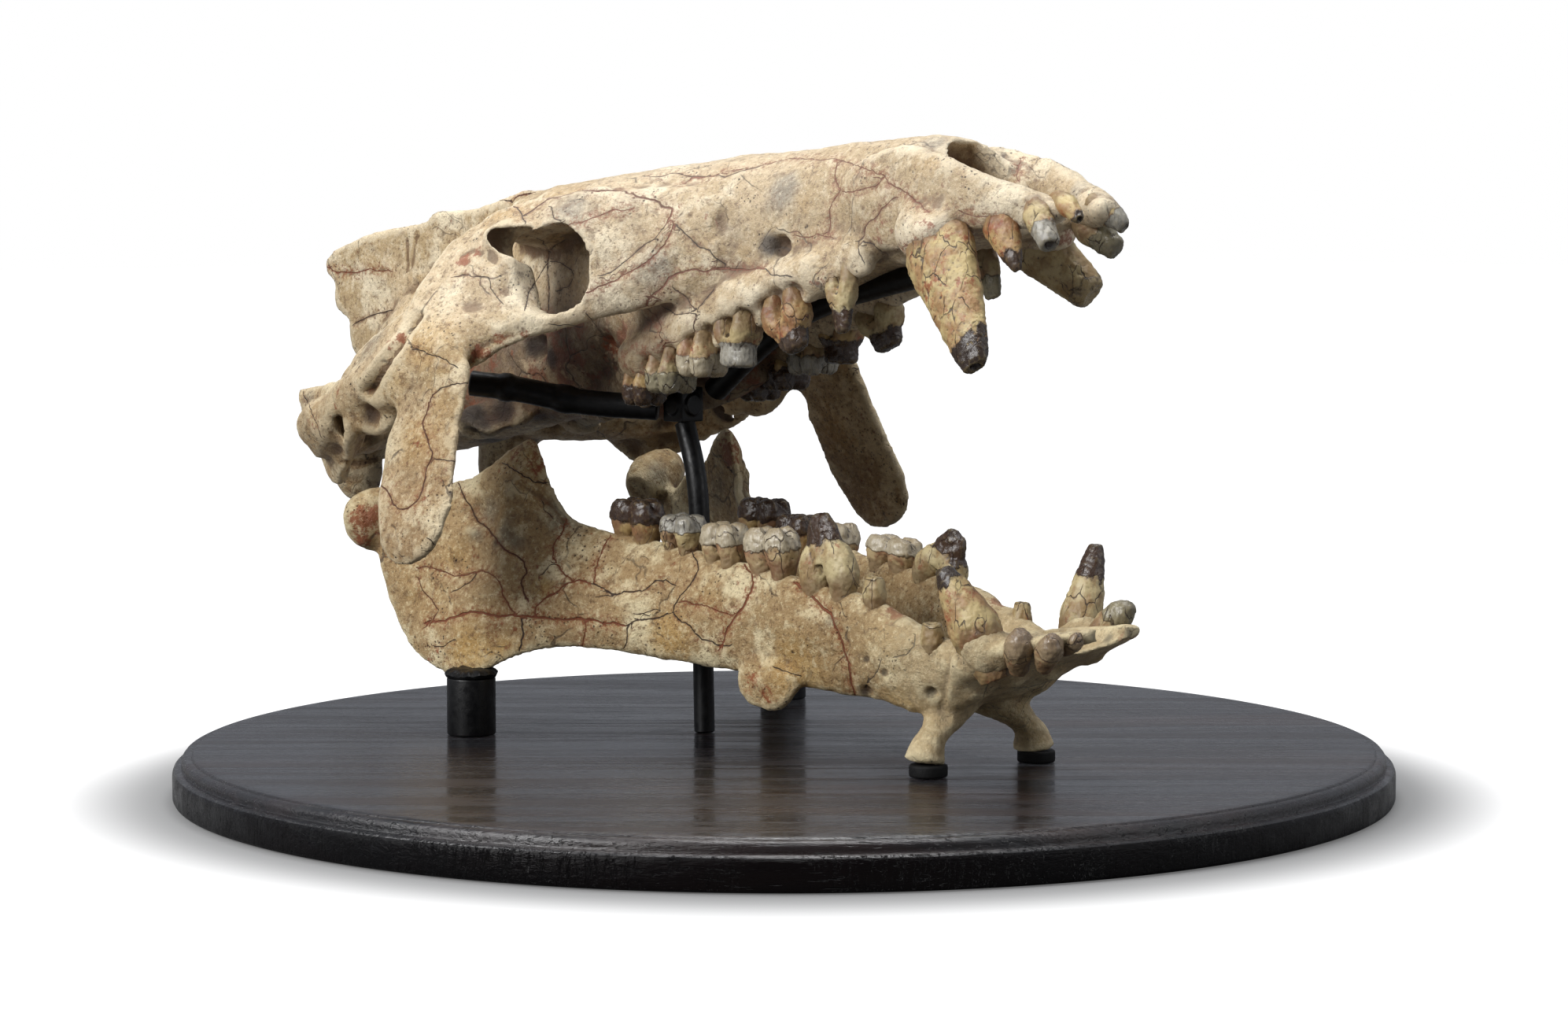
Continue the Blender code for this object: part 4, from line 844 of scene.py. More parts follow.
def crack_points(mesh, cracks):
    """Every crack point of both sides as arrays: place, way, half width, redness."""
    tree = tree_of(mesh)
    rows = []
    for width, red, *corners in cracks:
        half = width / 1000 / CRACK_NARROWING / 2
        for place, way in crack_line(tree, corners):
            rows.append((*place, *way, half, red))
            far = other_side(place)
            drift = noise.noise_vector(far * FAR_DRIFT_SCALE) * FAR_DRIFT
            near = tree.find_nearest(far + drift)[0]
            rows.append((*near, way.x, -way.y, way.z, half, red * FAR_REDNESS))
    return np.array(rows)


def grooved(mesh, grooves):
    """Presses narrow grooves in along lines of the photograph, on both sides."""
    tree = tree_of(mesh)
    points, normals = points_of(mesh).astype(float), normals_of(mesh).astype(float)
    move = np.zeros(len(points))
    for half, depth, *corners in grooves:
        line = [place for place, _ in crack_line(tree, corners, 0.0002)]
        line += [other_side(place) for place in line]
        if not line:
            continue
        finder = finder_of(line)
        apart = np.array([finder.find(point)[2] for point in points]) / (half / 1000)
        move = np.maximum(move, depth / 1000 * np.exp(-(apart**2)))
    set_points(mesh, points - normals * move[:, None])


def mark_cracks(mesh, cracks):
    """Writes where the cracks run, for the bone's material, and presses the wide ones in.

    crack_side is the signed distance to the nearest crack, so that the material finds the line between
    two points, and crack_near is the plain distance.
    """
    rows = crack_points(mesh, cracks)
    finder = finder_of(rows[:, :3])
    points, normals = points_of(mesh).astype(float), normals_of(mesh).astype(float)
    found = [finder.find(point) for point in points]
    index = np.array([i for _, i, _ in found])
    apart = np.array([distance for _, _, distance in found])
    near = rows[index]
    across = np.cross(normals, near[:, 3:6])
    side = ((points - near[:, :3]) * across).sum(axis=1)
    side = np.sign(side) * np.maximum(np.abs(side), apart * 0.5)
    write_values(mesh, "crack_side", side)
    write_values(mesh, "crack_near", apart)
    write_values(mesh, "crack_half", near[:, 6])
    write_values(mesh, "crack_red", near[:, 7])
    half = near[:, 6] + CRACK_LIP
    press = CRACK_DEPTH * half * np.exp(-((apart / half) ** 2))
    set_points(mesh, points - normals * press[:, None])


def mark_stains_and_shade(mesh, stains_and_shade):
    """Writes one value for each kind of stain, and one for the painted shade listed as dark."""
    tree = tree_of(mesh)
    points = points_of(mesh).astype(float)
    for kind, places in stains_and_shade.items():
        value = np.zeros(len(points))
        for centre, _, (radius, strength) in both_places(tree, places):
            value = np.maximum(value, strength * np.exp(-(far_from(points, centre, radius) ** 2)))
        write_values(mesh, f"stain_{kind}", value)


# How hollow each point lies, small and large, for the painted shade in the hollows
def mark_hollows(mesh):
    write_values(mesh, "hollow_small", hollowness(mesh, 3) * 1000)
    write_values(mesh, "hollow_large", hollowness(mesh, 40) * 1000)


def mark_seams(mesh, neighbours, reach=0.004):
    """Writes how near each point is to a tooth, for the dirt in the joint."""
    finder = finder_of(neighbours)
    apart = np.array([finder.find(point)[2] for point in points_of(mesh)])
    write_values(mesh, "seam", np.clip(1 - apart / reach, 0, 1))


# Bones


def fill_cranium(work):
    for rows in (SNOUT, FOREHEAD, BRAINCASE):
        add_rings(work, list(body_rings(rows)))
    for rows in (CHEEK_ARCH, EYE_WALL, REAR_WALL, FLANGE_ROOT):
        add_both_sides(work, blade_rings(rows))
    for rows in (CHEEK_FLANGE, BROW_BAR, JAW_SOCKET_BAR, NECK_WING, NECK_PROCESS):
        add_both_sides(work, tube_rings(rows, aside=(1, 0, 0)))
    for rows in (BROW_RIM, NECK_CONDYLE, PALATE_WING, TOOTH_RIDGE, SNOUT_ARM, CANINE_SWELLING):
        add_both_sides(work, tube_rings(rows))
    for rows in (SKULL_FLOOR, SNOUT_FLOOR):
        add_rings(work, list(tube_rings(rows)))
    for x, y, z, *radii in ARCH_FILLS:
        for side in (-1, 1):
            add_ball(work, (x, y * side, z), radii)
    add_plate(work, CREST, CREST_HALF_THICKNESS)


def fill_cranium_hollows(work):
    add_hollows(work, PAIRED_CRANIUM_HOLLOWS, MIDDLE_CRANIUM_HOLLOWS)


def fill_mandible(work):
    add_both_sides(work, blade_rings(MANDIBLE_SIDE))
    add_rings(work, list(body_rings(CHIN)))
    add_both_sides(work, tube_rings(CHIN_FLANGE))
    add_both_sides(work, tube_rings(REAR_TUBERCLE))
    add_rings(work, mirrored(tube_rings(JAW_CONDYLE, aside=(1, 0, 0))))
    add_rings(work, list(tube_rings(LEFT_JAW_CONDYLE, aside=(1, 0, 0))))
    add_both_sides(work, tube_rings(LOWER_CANINE_SWELLING, aside=(1, 0, 0)))


def fill_mandible_hollows(work):
    add_hollows(work, PAIRED_MANDIBLE_HOLLOWS, MIDDLE_MANDIBLE_HOLLOWS)


def add_bone(name, fill, fill_hollows, voxel, melts, dents, grooves):
    """A bone fused from its parts, hollowed, set in its place and then smoothed, dented and roughened."""
    bone = piece_from(name, fill)
    hollows = piece_from(f"{name}_hollows", fill_hollows)
    remeshed(hollows, voxel)
    remeshed(bone, voxel * 1.15)
    hollowed(bone, hollows)
    remeshed(bone, voxel)
    softened(bone, 3)
    bake_modifiers(bone)
    bpy.data.objects.remove(hollows, do_unlink=True)
    keep_largest(bone.data)
    points = points_of(bone.data)
    points[:, 1] += MID_Y
    set_points(bone.data, points)
    melted(bone.data, melts)
    dented(bone.data, dents)
    grooved(bone.data, grooves)
    roughened(bone.data, BONE_LUMPS)
    return bone


def finish_piece(piece, node, look, sharp=None):
    """The piece with its material, riding on the one body in place of its node."""
    piece.data.materials.append(look)
    piece.data.shade_smooth()
    if sharp:
        piece.data.set_sharp_from_angle(angle=math.radians(sharp))
    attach(piece, "root")
    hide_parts(node)


# Teeth

# Each lobe is rows of: share from root end (-1) through neck (0) to tip (1), offset along the jaw,
# offset across it, half length and half width, as shares of the tooth's own half length and half width.
def molar_lobes(tip):
    lobes = []
    for a in (-0.47, 0.47):
        body = (
            (-1.0, a * 0.8, 0, 0.26, 0.5), (-0.4, a * 0.95, 0, 0.36, 0.68), (0.0, a, 0, 0.44, 0.80),
            (0.3, a, 0, 0.52, 0.95), (0.55, a, 0, 0.50, 0.90), (0.75, a, 0, 0.36, 0.66),
        )
        lobes.append(body)
        for w in (-0.45, 0.45):
            shoulder, top = 0.10 + 0.36 * tip, 0.30 * tip
            cusp = (
                (0.4, a, w, 0.50, 0.50), (0.72, a * 0.96, w * 0.92, 0.47, 0.48),
                (0.90, a * 0.94, w * 0.86, shoulder, shoulder), (1.0, a * 0.94, w * 0.84, top, top),
            )
            lobes.append(cusp)
    return lobes


def premolar_lobes(tip):
    roots = [
        (
            (-1, a * 0.42, 0, 0.28, 0.55), (-0.4, a * 0.48, 0, 0.38, 0.75), (0.05, a * 0.5, 0, 0.47, 0.92),
            (0.32, a * 0.40, 0, 0.44, 0.88), (0.55, a * 0.20, 0, 0.30, 0.60),
        )
        for a in (-1, 1)
    ]
    cone = (
        (0.25, 0, 0, 0.70, 0.85), (0.50, 0, 0, 0.56 + 0.3 * tip, 0.74),
        (0.80, 0, 0, 0.34 + 0.55 * tip, 0.48 + 0.4 * tip),
        (0.95, 0, 0, 0.16 + 0.75 * tip, 0.24 + 0.65 * tip), (1.0, 0, 0, 0.75 * tip, 0.75 * tip),
    )
    return [*roots, cone]


def cone_lobes(tip):
    cone = (
        (-1.0, 0, 0, 0.62, 0.62), (-0.3, 0, 0, 0.88, 0.88), (0.08, 0, 0, 1.0, 1.0),
        (0.35, 0.03, 0, 0.78 + 0.20 * tip, 0.80 + 0.18 * tip),
        (0.72, 0.02, 0, 0.40 + 0.52 * tip, 0.42 + 0.5 * tip),
        (0.93, 0, 0, 0.10 + 0.80 * tip, 0.12 + 0.78 * tip), (1.0, 0, 0, 0.78 * tip, 0.78 * tip),
    )
    return [cone]


def incisor_lobes(_):
    """A swollen peg with a worn point, however blunt the tip is."""
    peg = (
        (-1, 0, 0, 0.62, 0.62), (0, 0, 0, 0.95, 0.95), (0.35, 0, 0, 1.06, 1.06), (0.65, 0, 0, 0.96, 0.98),
        (0.85, 0, 0, 0.70, 0.74), (0.97, 0.05, 0, 0.40, 0.42), (1.0, 0.05, 0, 0.16, 0.16),
    )
    return [peg]


LOBES = {"molar": molar_lobes, "premolar": premolar_lobes, "cone": cone_lobes, "incisor": incisor_lobes}


def kind_of(name):
    if "molar_" in name and "premolar" not in name:
        return "molar"
    if "lower" in name and "premolar_4" in name:
        return "molar"
    if "premolar_3" in name or "premolar_4" in name or name == "upper_right_premolar_2":
        return "premolar"
    return "incisor" if "lower" in name and "incisor" in name else "cone"


def add_tooth(name, places, length, width, blunt, look):
    """A tooth fused from its lobes, with a value that says how far each point is towards the tip."""
    root, neck, tip = metres(*places) + (0, MID_Y, 0)
    length, width = length / 1000, width / 1000
    up = Vector(tip - root).normalized()
    along = (Vector((1, 0, 0)) - up * up.x).normalized()
    aside = up.cross(along)

    def centre(share):
        return neck + share * ((tip - neck) if share >= 0 else (neck - root))

    def fill(work):
        for lobe in LOBES[kind_of(name)](blunt):
            rows = []
            for share, a, w, size_a, size_w in lobe:
                point = Vector(centre(share)) + along * a * length + aside * w * width
                rows.append((*point, size_a * length, size_w * width))
            add_rings(work, list(tube_rings(rows, 20, along, 5)))

    piece = piece_from(name, fill)
    remeshed(piece, TOOTH_VOXEL)
    softened(piece, 3)
    bake_modifiers(piece)
    keep_largest(piece.data)
    roughened(piece.data, TOOTH_LUMPS)
    points = points_of(piece.data)
    rise = (points - neck) @ ((tip - neck) / np.dot(tip - neck, tip - neck))
    write_values(piece.data, "crown", rise)
    if name in BROKEN:
        press_tip(piece.data, tip, np.array(up), BROKEN[name] / 1000, blunt * width)
    write_values(piece.data, "hollow_small", hollowness(piece.data, 4) * 1000)
    finish_piece(piece, name, look)
    return piece


# How deep the pulp hollow in each broken tip is, in millimetres
BROKEN = {
    "upper_right_canine": 5,
    "upper_right_incisor_1": 3,
    "upper_right_incisor_2": 3,
    "upper_left_incisor_2": 2,
    "upper_left_canine": 1.5,
    "lower_right_premolar_1": 2,
    "lower_right_premolar_2": 2,
}


PULP_WIDTH, PULP_REACH = 0.62, 0.004


def press_tip(mesh, tip, up, depth, radius):
    points = points_of(mesh).astype(float)
    offset = points - tip
    along = offset @ up
    off_axis = np.linalg.norm(offset - along[:, None] * up, axis=1) / (radius * PULP_WIDTH)
    share = np.clip(1 - off_axis**2, 0, 1) * np.clip(1 + along / PULP_REACH, 0, 1)
    set_points(mesh, points - share[:, None] * up * depth)


# Steel, pads and base


def lathe_rings(rows, centre, sides):
    """Level rings about a centre. Each row is radius and height."""
    x, y = centre
    return [[(x + r * c, y + r * s, z) for c, s in zip(*turned(sides))] for r, z in rows]


def lathe(name, rows, centre, sides):
    return piece_from(name, lambda work: add_rings(work, lathe_rings(rows, centre, sides)))


def rounded_rows(radius, low, high, bevel):
    """Radius and height up the side of a turned piece with rounded rims."""
    rows = []
    for step in range(5):
        angle = math.radians(22.5 * step)
        rows.append((radius - bevel * (1 - math.sin(angle)), low + bevel * (1 - math.cos(angle))))
    for step in range(5):
        angle = math.radians(22.5 * step)
        rows.append((radius - bevel * (1 - math.cos(angle)), high - bevel * (1 - math.sin(angle))))
    return rows


# The rounded end of a rod: how long it is, and how wide its tip. Then how soft a collar's edges are.
ROD_LIP, ROD_LIP_SHARE, COLLAR_FALL = 0.0008, 0.86, 1.6


def rod(name, line, across, upright, sides=28, aside=(0, 1, 0), collars=()):
    """A rod along a line. A collar is its place and half width as shares of the length, and its swelling."""
    rows = smooth_rows([(*point, across, upright) for point in line], 24)
    rows[:, 1] += MID_Y
    share = np.linspace(0, 1, len(rows))
    for place, width, more in collars:
        swell = 1 + (more - 1) * np.clip(COLLAR_FALL - np.abs(share - place) / width, 0, 1)
        rows[:, 3:] *= swell[:, None]
    ends = []
    for end, inner in ((rows[0], rows[1]), (rows[-1], rows[-2])):
        lip = end.copy()
        lip[3:] *= ROD_LIP_SHARE
        back = inner[:3] - end[:3]
        end[:3] += back / np.linalg.norm(back) * ROD_LIP
        ends.append(lip)
    rings = list(tube_rings(np.vstack([ends[0], rows, ends[1]]), sides, aside, 1))
    return piece_from(name, lambda work: add_rings(work, rings))


# The rims of the board: how far in, and how far up from the underside or down from the top
BASE_FOOT = metres((300, 0), (2.5, 0), (0.8, 0.6), (0, 2.2))
BASE_EDGE = metres(
    (0, 14), (0.2, 11.5), (0.9, 9.6), (2.2, 8.4), (4, 7.9), (5.6, 7.8), (6, 7), (5.8, 5.2), (6.2, 3.2),
    (7.4, 1.7), (9.2, 0.9), (11, 0.9), (12, 1.2), (12.6, 0.4), (13.4, 0), (20, 0), (100, 0), (250, 0),
)


def add_base(look, edge_look):
    rows = [(BASE_RADIUS - inset, rise) for inset, rise in BASE_FOOT]
    rows.append((BASE_RADIUS, BASE_THICKNESS * 0.4))
    rows += [(BASE_RADIUS - inset, BASE_THICKNESS - drop) for inset, drop in BASE_EDGE]
    base = lathe("turned_base", rows, (0, 0), 256)
    finish_piece(base, "base_disc", look, 50)
    base.data.materials.append(edge_look)
    for face in base.data.polygons:
        if face.center.z < SIDE_WALL_TOP and abs(face.normal.z) < 0.7:
            face.material_index = 1


# Half across and half upright of each rod, and the two collars of the rod below the cheek
CENTRE_POST_SIZE, CROSS_ROD_SIZE, PALATE_BAR_SIZE = (0.0066, 0.0066), (0.0082, 0.0082), (0.0085, 0.0078)
CROSS_ROD_COLLARS = ((0.42, 0.035, 1.14), (0.74, 0.035, 1.14))
SHARP = 40


def add_supports(steel, rubber):
    floor = BASE_THICKNESS + FIT_GAP
    for side, name in ((-1, "right"), (1, "left")):
        place = (POST_X, MID_Y + POST_Y * side)
        post = piece_from(f"steel_post_{name}", lambda work: fill_post(work, place))
        finish_piece(post, f"rear_post_{name}", steel, SHARP)
        place = (PAD_X, MID_Y + PAD_Y * side)
        pad = lathe(f"rubber_pad_{name}", rounded_rows(PAD_RADIUS, floor, PAD_TOP, 0.0015), place, 48)
        finish_piece(pad, f"chin_pad_{name}", rubber, SHARP)
    centre = rod("bent_post", CENTRE_POST_LINE, *CENTRE_POST_SIZE, aside=(1, 0, 0))
    across = rod("crosswise_rod", CROSS_ROD_LINE, *CROSS_ROD_SIZE, 32, (0, 0, 1), CROSS_ROD_COLLARS)
    flat = rod("palate_strap", PALATE_BAR_LINE, *PALATE_BAR_SIZE, 16)
    for piece, node in ((centre, "centre_post"), (across, "cross_rod"), (flat, "palate_bar")):
        finish_piece(piece, node, steel, SHARP)
    clamp = piece_from("clamp_block", fill_clamp)
    remeshed(clamp, 0.0008)
    softened(clamp, 2)
    bake_modifiers(clamp)
    finish_piece(clamp, "post_clamp", steel, 60)


# The putty's width as a share of the post's radius, and its height above the post. Then its waves.
PUTTY = ((0.90, -0.0020), (1.03, -0.0008), (1.08, 0.0010), (0.98, 0.0026), (0.80, 0.0040))
PUTTY_WAVES = ((1.8, 1.0), (6, 0.6))
PUTTY_WIDE_WAVE, PUTTY_HIGH_WAVE = 0.10, 0.0016


def fill_post(work, place):
    """A steel post, with the squeezed-out putty that the jaw is bedded on."""
    x, y = place
    rows = rounded_rows(POST_RADIUS, BASE_THICKNESS + FIT_GAP, POST_TOP - 0.0012, 0.0012)
    add_rings(work, lathe_rings(rows, place, 64))
    putty = []
    for share, rise in PUTTY:
        ring = []
        for c, s in zip(*turned(64)):
            wave = sum(w * noise.noise(Vector((c * size, s * size, y * 30))) for size, w in PUTTY_WAVES)
            reach = POST_RADIUS * (share + PUTTY_WIDE_WAVE * wave)
            ring.append((x + reach * c, y + reach * s, POST_TOP + rise + PUTTY_HIGH_WAVE * wave))
        putty.append(ring)
    add_rings(work, putty)


CLAMP_BLOCK_SHARE, BOSS_SHARE, BOSS_LENGTH = 0.8, 0.62, 1.96


def fill_clamp(work):
    """A block with two round bosses through it."""
    x, y, z = CLAMP_CENTRE
    y += MID_Y
    a, b, c = CLAMP_RADII
    place = Matrix.Translation((x, y, z))
    block = Matrix.Diagonal((a * CLAMP_BLOCK_SHARE, b * CLAMP_BLOCK_SHARE, c, 1))
    bmesh.ops.create_cube(work, size=2, matrix=place @ block)
    radius, length = c * BOSS_SHARE, a * BOSS_LENGTH
    boss = {"cap_ends": True, "segments": 32, "radius1": radius, "radius2": radius, "depth": length}
    for turn in (0.0, math.pi / 2):
        matrix = place @ Matrix.Rotation(turn, 4, "Z") @ Matrix.Rotation(math.pi / 2, 4, "Y")
        bmesh.ops.create_cone(work, **boss, matrix=matrix)


# Materials


class Value:
    """A value of a material that can be added, multiplied and so on."""

    def __init__(self, look, socket):
        self.look = look
        self.socket = socket

    def with_other(self, operation, other=0.0):
        node = self.look.add("ShaderNodeMath", operation=operation)
        self.look.feed(node.inputs[0], self)
        self.look.feed(node.inputs[1], other)
        return Value(self.look, node.outputs[0])

    def __add__(self, other):
        return self.with_other("ADD", other)

    def __sub__(self, other):
        return self.with_other("SUBTRACT", other)

    def __mul__(self, other):
        return self.with_other("MULTIPLY", other)

    def __truediv__(self, other):
        return self.with_other("DIVIDE", other)

    def __abs__(self):
        return self.with_other("ABSOLUTE")

    def most(self, other):
        return self.with_other("MAXIMUM", other)

    def least(self, other):
        return self.with_other("MINIMUM", other)

    def ramp(self, low, high, start=0.0, end=1.0):
        """start where the value is low or less, end where it is high or more, smooth between."""
        node = self.look.add("ShaderNodeMapRange", interpolation_type="SMOOTHSTEP", clamp=True)
        self.look.feed(node.inputs["Value"], self)
        for name, number in (("From Min", low), ("From Max", high), ("To Min", start), ("To Max", end)):
            node.inputs[name].default_value = number
        return Value(self.look, node.outputs["Result"])


class Look:
    """A node material that is built up coat by coat, in metres."""

    def __init__(self, name, **settings):
        self.material = bpy.data.materials.new(name)
        self.material.use_nodes = True
        self.nodes = self.material.node_tree.nodes
        self.links = self.material.node_tree.links
        self.shader = self.nodes["Principled BSDF"]
        self.place = self.add("ShaderNodeTexCoord").outputs["Object"]
        self.colour = None
        for socket, value in settings.items():
            self.shader.inputs[socket].default_value = value

    def add(self, kind, **settings):
        node = self.nodes.new(kind)
        for key, value in settings.items():
            setattr(node, key, value)
        return node

    def feed(self, socket, value):
        if isinstance(value, Value):
            value = value.socket
        if isinstance(value, bpy.types.NodeSocket):
            self.links.new(value, socket)
        elif isinstance(value, tuple) and len(value) == 3 and socket.type == "RGBA":
            socket.default_value = (*value, 1.0)
        else:
            socket.default_value = value

    def value(self, name):
        """A value that is written on the mesh's points."""
        return Value(self, self.add("ShaderNodeAttribute", attribute_name=name).outputs["Fac"])

    def axes(self):
        split = self.add("ShaderNodeSeparateXYZ")
        self.feed(split.inputs[0], self.place)
        return [Value(self, socket) for socket in split.outputs]

    def stretched(self, scale, turn=0.0, place=None):
        """The object's coordinates, turned about Z and then scaled on each axis."""
        node = self.add("ShaderNodeMapping", vector_type="POINT")
        self.feed(node.inputs["Vector"], place or self.place)
        node.inputs["Rotation"].default_value = (0, 0, turn)
        node.inputs["Scale"].default_value = scale
        return node.outputs["Vector"]

    def noise(self, scale, detail=4.0, rough=0.55, place=None, warp=0.0):
        node = self.add("ShaderNodeTexNoise")
        self.feed(node.inputs["Vector"], place or self.place)
        settings = (("Scale", scale), ("Detail", detail), ("Roughness", rough), ("Distortion", warp))
        for name, number in settings:
            node.inputs[name].default_value = number
        return Value(self, node.outputs["Fac"])

    def cells(self, scale, feature="F1", place=None):
        node = self.add("ShaderNodeTexVoronoi", feature=feature)
        self.feed(node.inputs["Vector"], place or self.place)
        node.inputs["Scale"].default_value = scale
        return Value(self, node.outputs["Distance"])

    def warped(self, amount, scale, place=None):
        """Coordinates pushed about by noise, by about this many metres."""
        node = self.add("ShaderNodeTexNoise")
        self.feed(node.inputs["Vector"], place or self.place)
        node.inputs["Scale"].default_value = scale
        shift = self.add("ShaderNodeVectorMath", operation="MULTIPLY_ADD")
        self.feed(shift.inputs[0], node.outputs["Color"])
        shift.inputs[1].default_value = (amount, amount, amount)
        self.feed(shift.inputs[2], place or self.place)
        return shift.outputs["Vector"]

    def mix(self, share, first, second, blend="MIX"):
        node = self.add("ShaderNodeMix", data_type="RGBA", blend_type=blend)
        self.feed(node.inputs["Factor"], share)
        self.feed(node.inputs[6], first)
        self.feed(node.inputs[7], second)
        return node.outputs[2]

    def coat(self, share, colour, blend="MIX"):
        """Puts a share of another colour over the colour so far."""
        self.colour = self.mix(share, self.colour, colour, blend)

    def done(self, roughness, height, strength=1.0):
        """The finished material, with relief from a height in metres."""
        node = self.add("ShaderNodeBump")
        node.inputs["Strength"].default_value = strength
        node.inputs["Distance"].default_value = 1.0
        self.feed(node.inputs["Height"], height)
        self.feed(self.shader.inputs["Base Color"], self.colour)
        self.feed(self.shader.inputs["Roughness"], roughness)
        self.feed(self.shader.inputs["Normal"], node.outputs["Normal"])
        return self.material


CREAM, PALE, PALE_GREY_CREAM = (0.62, 0.51, 0.34), (0.80, 0.73, 0.54), (0.76, 0.72, 0.64)
TAN, OCHRE, UMBER = (0.46, 0.35, 0.19), (0.50, 0.32, 0.11), (0.36, 0.245, 0.125)
# The last of these is the dark brown of the painted shade in recesses and holes
BROWN, DARK_BROWN, SHADE_AND_DIRT_BROWN = (0.15, 0.085, 0.040), (0.036, 0.020, 0.013), (0.022, 0.013, 0.010)
RUST, CRACK_RUST, GREY_BLUE = (0.27, 0.080, 0.030), (0.20, 0.055, 0.022), (0.23, 0.225, 0.195)
# The first of these is the brown of the painted shade on the underside between the cheeks
INNER_SHADE_BROWN, INNER_RUST = (0.085, 0.045, 0.027), (0.24, 0.080, 0.036)
# What each bone's colours are multiplied by: low down, and higher up
BONE_TINTS = {
    "cranium": ((0.86, 0.79, 0.70), (1.08, 1.03, 1.0)),
    "mandible": ((1.0, 0.94, 0.80), (1.0, 0.94, 0.80)),
}


class BoneLook(Look):
    """Fossil bone: mottled, pitted, cracked and stained, with painted shade in its hollows and recesses.
    Each coat is a step of its own.
    """

    def __init__(self, name, low_tint, tint):
        super().__init__(name, IOR=1.48)
        self.tints = low_tint, tint
        self.twisted = self.warped(0.02, 18)
        self.patchy = self.noise(24, 6, 0.66)
        self.fine = self.noise(130, 6, 0.7)
        self.speck = self.noise(330, 5, 0.8)
        self.grain = self.noise(560, 4, 0.75)
        self.hollow = self.value("hollow_small")
        self.x, self.y, self.height = self.axes()
        self.inner = self.inner_side()

    def inner_side(self):
        """How far a point belongs to the underside between the cheeks, painted darker as shade and redder
        with rust.
        """
        low = (self.height + self.patchy * 0.03).ramp(0.325, 0.300) * self.height.ramp(0.215, 0.230)
        along = self.x.ramp(-0.030, -0.060) * self.x.ramp(-0.360, -0.320)
        return abs(self.y - MID_Y).ramp(0.110, 0.085) * low * along

    def add_ground(self):
        broad = self.noise(7, 5, 0.6, self.twisted)
        self.colour = self.mix(broad.ramp(0.36, 0.60), CREAM, TAN)
        # darker and browner low down
        self.coat((self.height + self.patchy * 0.12).ramp(0.36, 0.19, 0, 0.85), UMBER)
        self.coat(self.patchy.ramp(0.50, 0.62, 0, 0.85), PALE)
        self.coat(self.noise(10, 5, 0.6, self.twisted).ramp(0.54, 0.72, 0, 0.5), OCHRE)
        # grey-blue stain; in the hollow of the ramus it is partly painted shade
        grey = self.noise(16, 6, 0.68) + self.value("stain_grey") * 0.42
        self.coat(grey.ramp(0.60, 0.92, 0, 0.75), GREY_BLUE)
        self.coat((self.value("stain_ochre") * 1.1 + self.fine * 0.6).ramp(0.50, 1.2, 0, 0.75), OCHRE)

    def add_specks(self):
        self.coat(self.fine.ramp(0.53, 0.66, 0, 0.62), BROWN)
        self.coat(self.fine.ramp(0.47, 0.34, 0, 0.46), PALE)
        self.coat(self.speck.ramp(0.54, 0.64, 0, 0.90), BROWN)
        self.coat(self.speck.ramp(0.46, 0.34, 0, 0.60), PALE)
        self.coat(self.grain.ramp(0.56, 0.74, 0, 0.50), BROWN)

    def add_hollow_shade_and_dirt(self):
        """Painted shade and dark sediment in the hollows, paler ridges, and the underside painted darker as
        shade and redder.
        """
        # painted shade: small and large hollows darkened brown, with the dark sediment in them
        self.coat((self.hollow + self.grain * 0.2).ramp(0.14, 0.6, 0, 0.75), BROWN)
        self.coat(self.hollow.ramp(-0.10, -0.5, 0, 0.5), PALE)
        self.coat(self.value("hollow_large").ramp(1.5, 5.0, 0, 0.85), BROWN)
        # painted shade on the underside between the cheeks, with rusty and cream patches
        self.coat(self.inner * self.patchy.ramp(0.40, 0.62, 0.40, 0.88), INNER_SHADE_BROWN)
        self.coat(self.inner * self.noise(48, 6, 0.72).ramp(0.50, 0.60, 0, 0.75), INNER_RUST)
        self.coat(self.inner * self.noise(36, 6, 0.7, self.twisted).ramp(0.56, 0.64, 0, 0.8), CREAM)

    def add_pits(self):
        pits = self.cells(280, "F1", self.warped(0.004, 150)).ramp(0.26, 0.10)
        pits = pits * self.noise(34, 4).ramp(0.50, 0.60)
        self.coat(pits * 0.9, DARK_BROWN)
        flecks = self.noise(240, 3, 0.6, self.stretched((1, 1, 0.35))).ramp(0.64, 0.72)
        self.coat(flecks * self.noise(26, 4).ramp(0.50, 0.62) * 0.8, RUST)
        return pits

    def add_hair_cracks(self):
        broken = self.warped(0.016, 60, self.warped(0.05, 12))
        network = self.cells(15, "DISTANCE_TO_EDGE", broken).ramp(0.012, 0.003)
        places = (self.noise(17, 4, 0.7).ramp(0.52, 0.60) + self.inner).least(1.0)
        small = self.cells(42, "DISTANCE_TO_EDGE", broken).ramp(0.022, 0.006)
        small = small * self.noise(13, 4, 0.7, self.twisted).ramp(0.56, 0.64)
        hair = (network * places).most(small * 0.8)
        self.coat(hair * 0.7, DARK_BROWN)
        return hair

    def add_cracks_stains_and_shade(self):
        near, half, red = (self.value(f"crack_{name}") for name in ("near", "half", "red"))
        ragged = half * (self.fine + self.noise(48, 4) * 0.9 - 0.15)
        on_line = (abs(self.value("crack_side")) / ragged).ramp(1.3, 0.75) * near.ramp(0.0031, 0.0023)
        halo = near.ramp(0.0080, 0.0005) * red * self.speck.ramp(0.47, 0.58)
        self.coat(halo * 0.85, RUST)
        stain = self.value("stain_red") * 0.62 + self.fine * 1.1 + self.speck * 0.9
        self.coat(stain.ramp(1.30, 1.50) * 0.9, RUST)
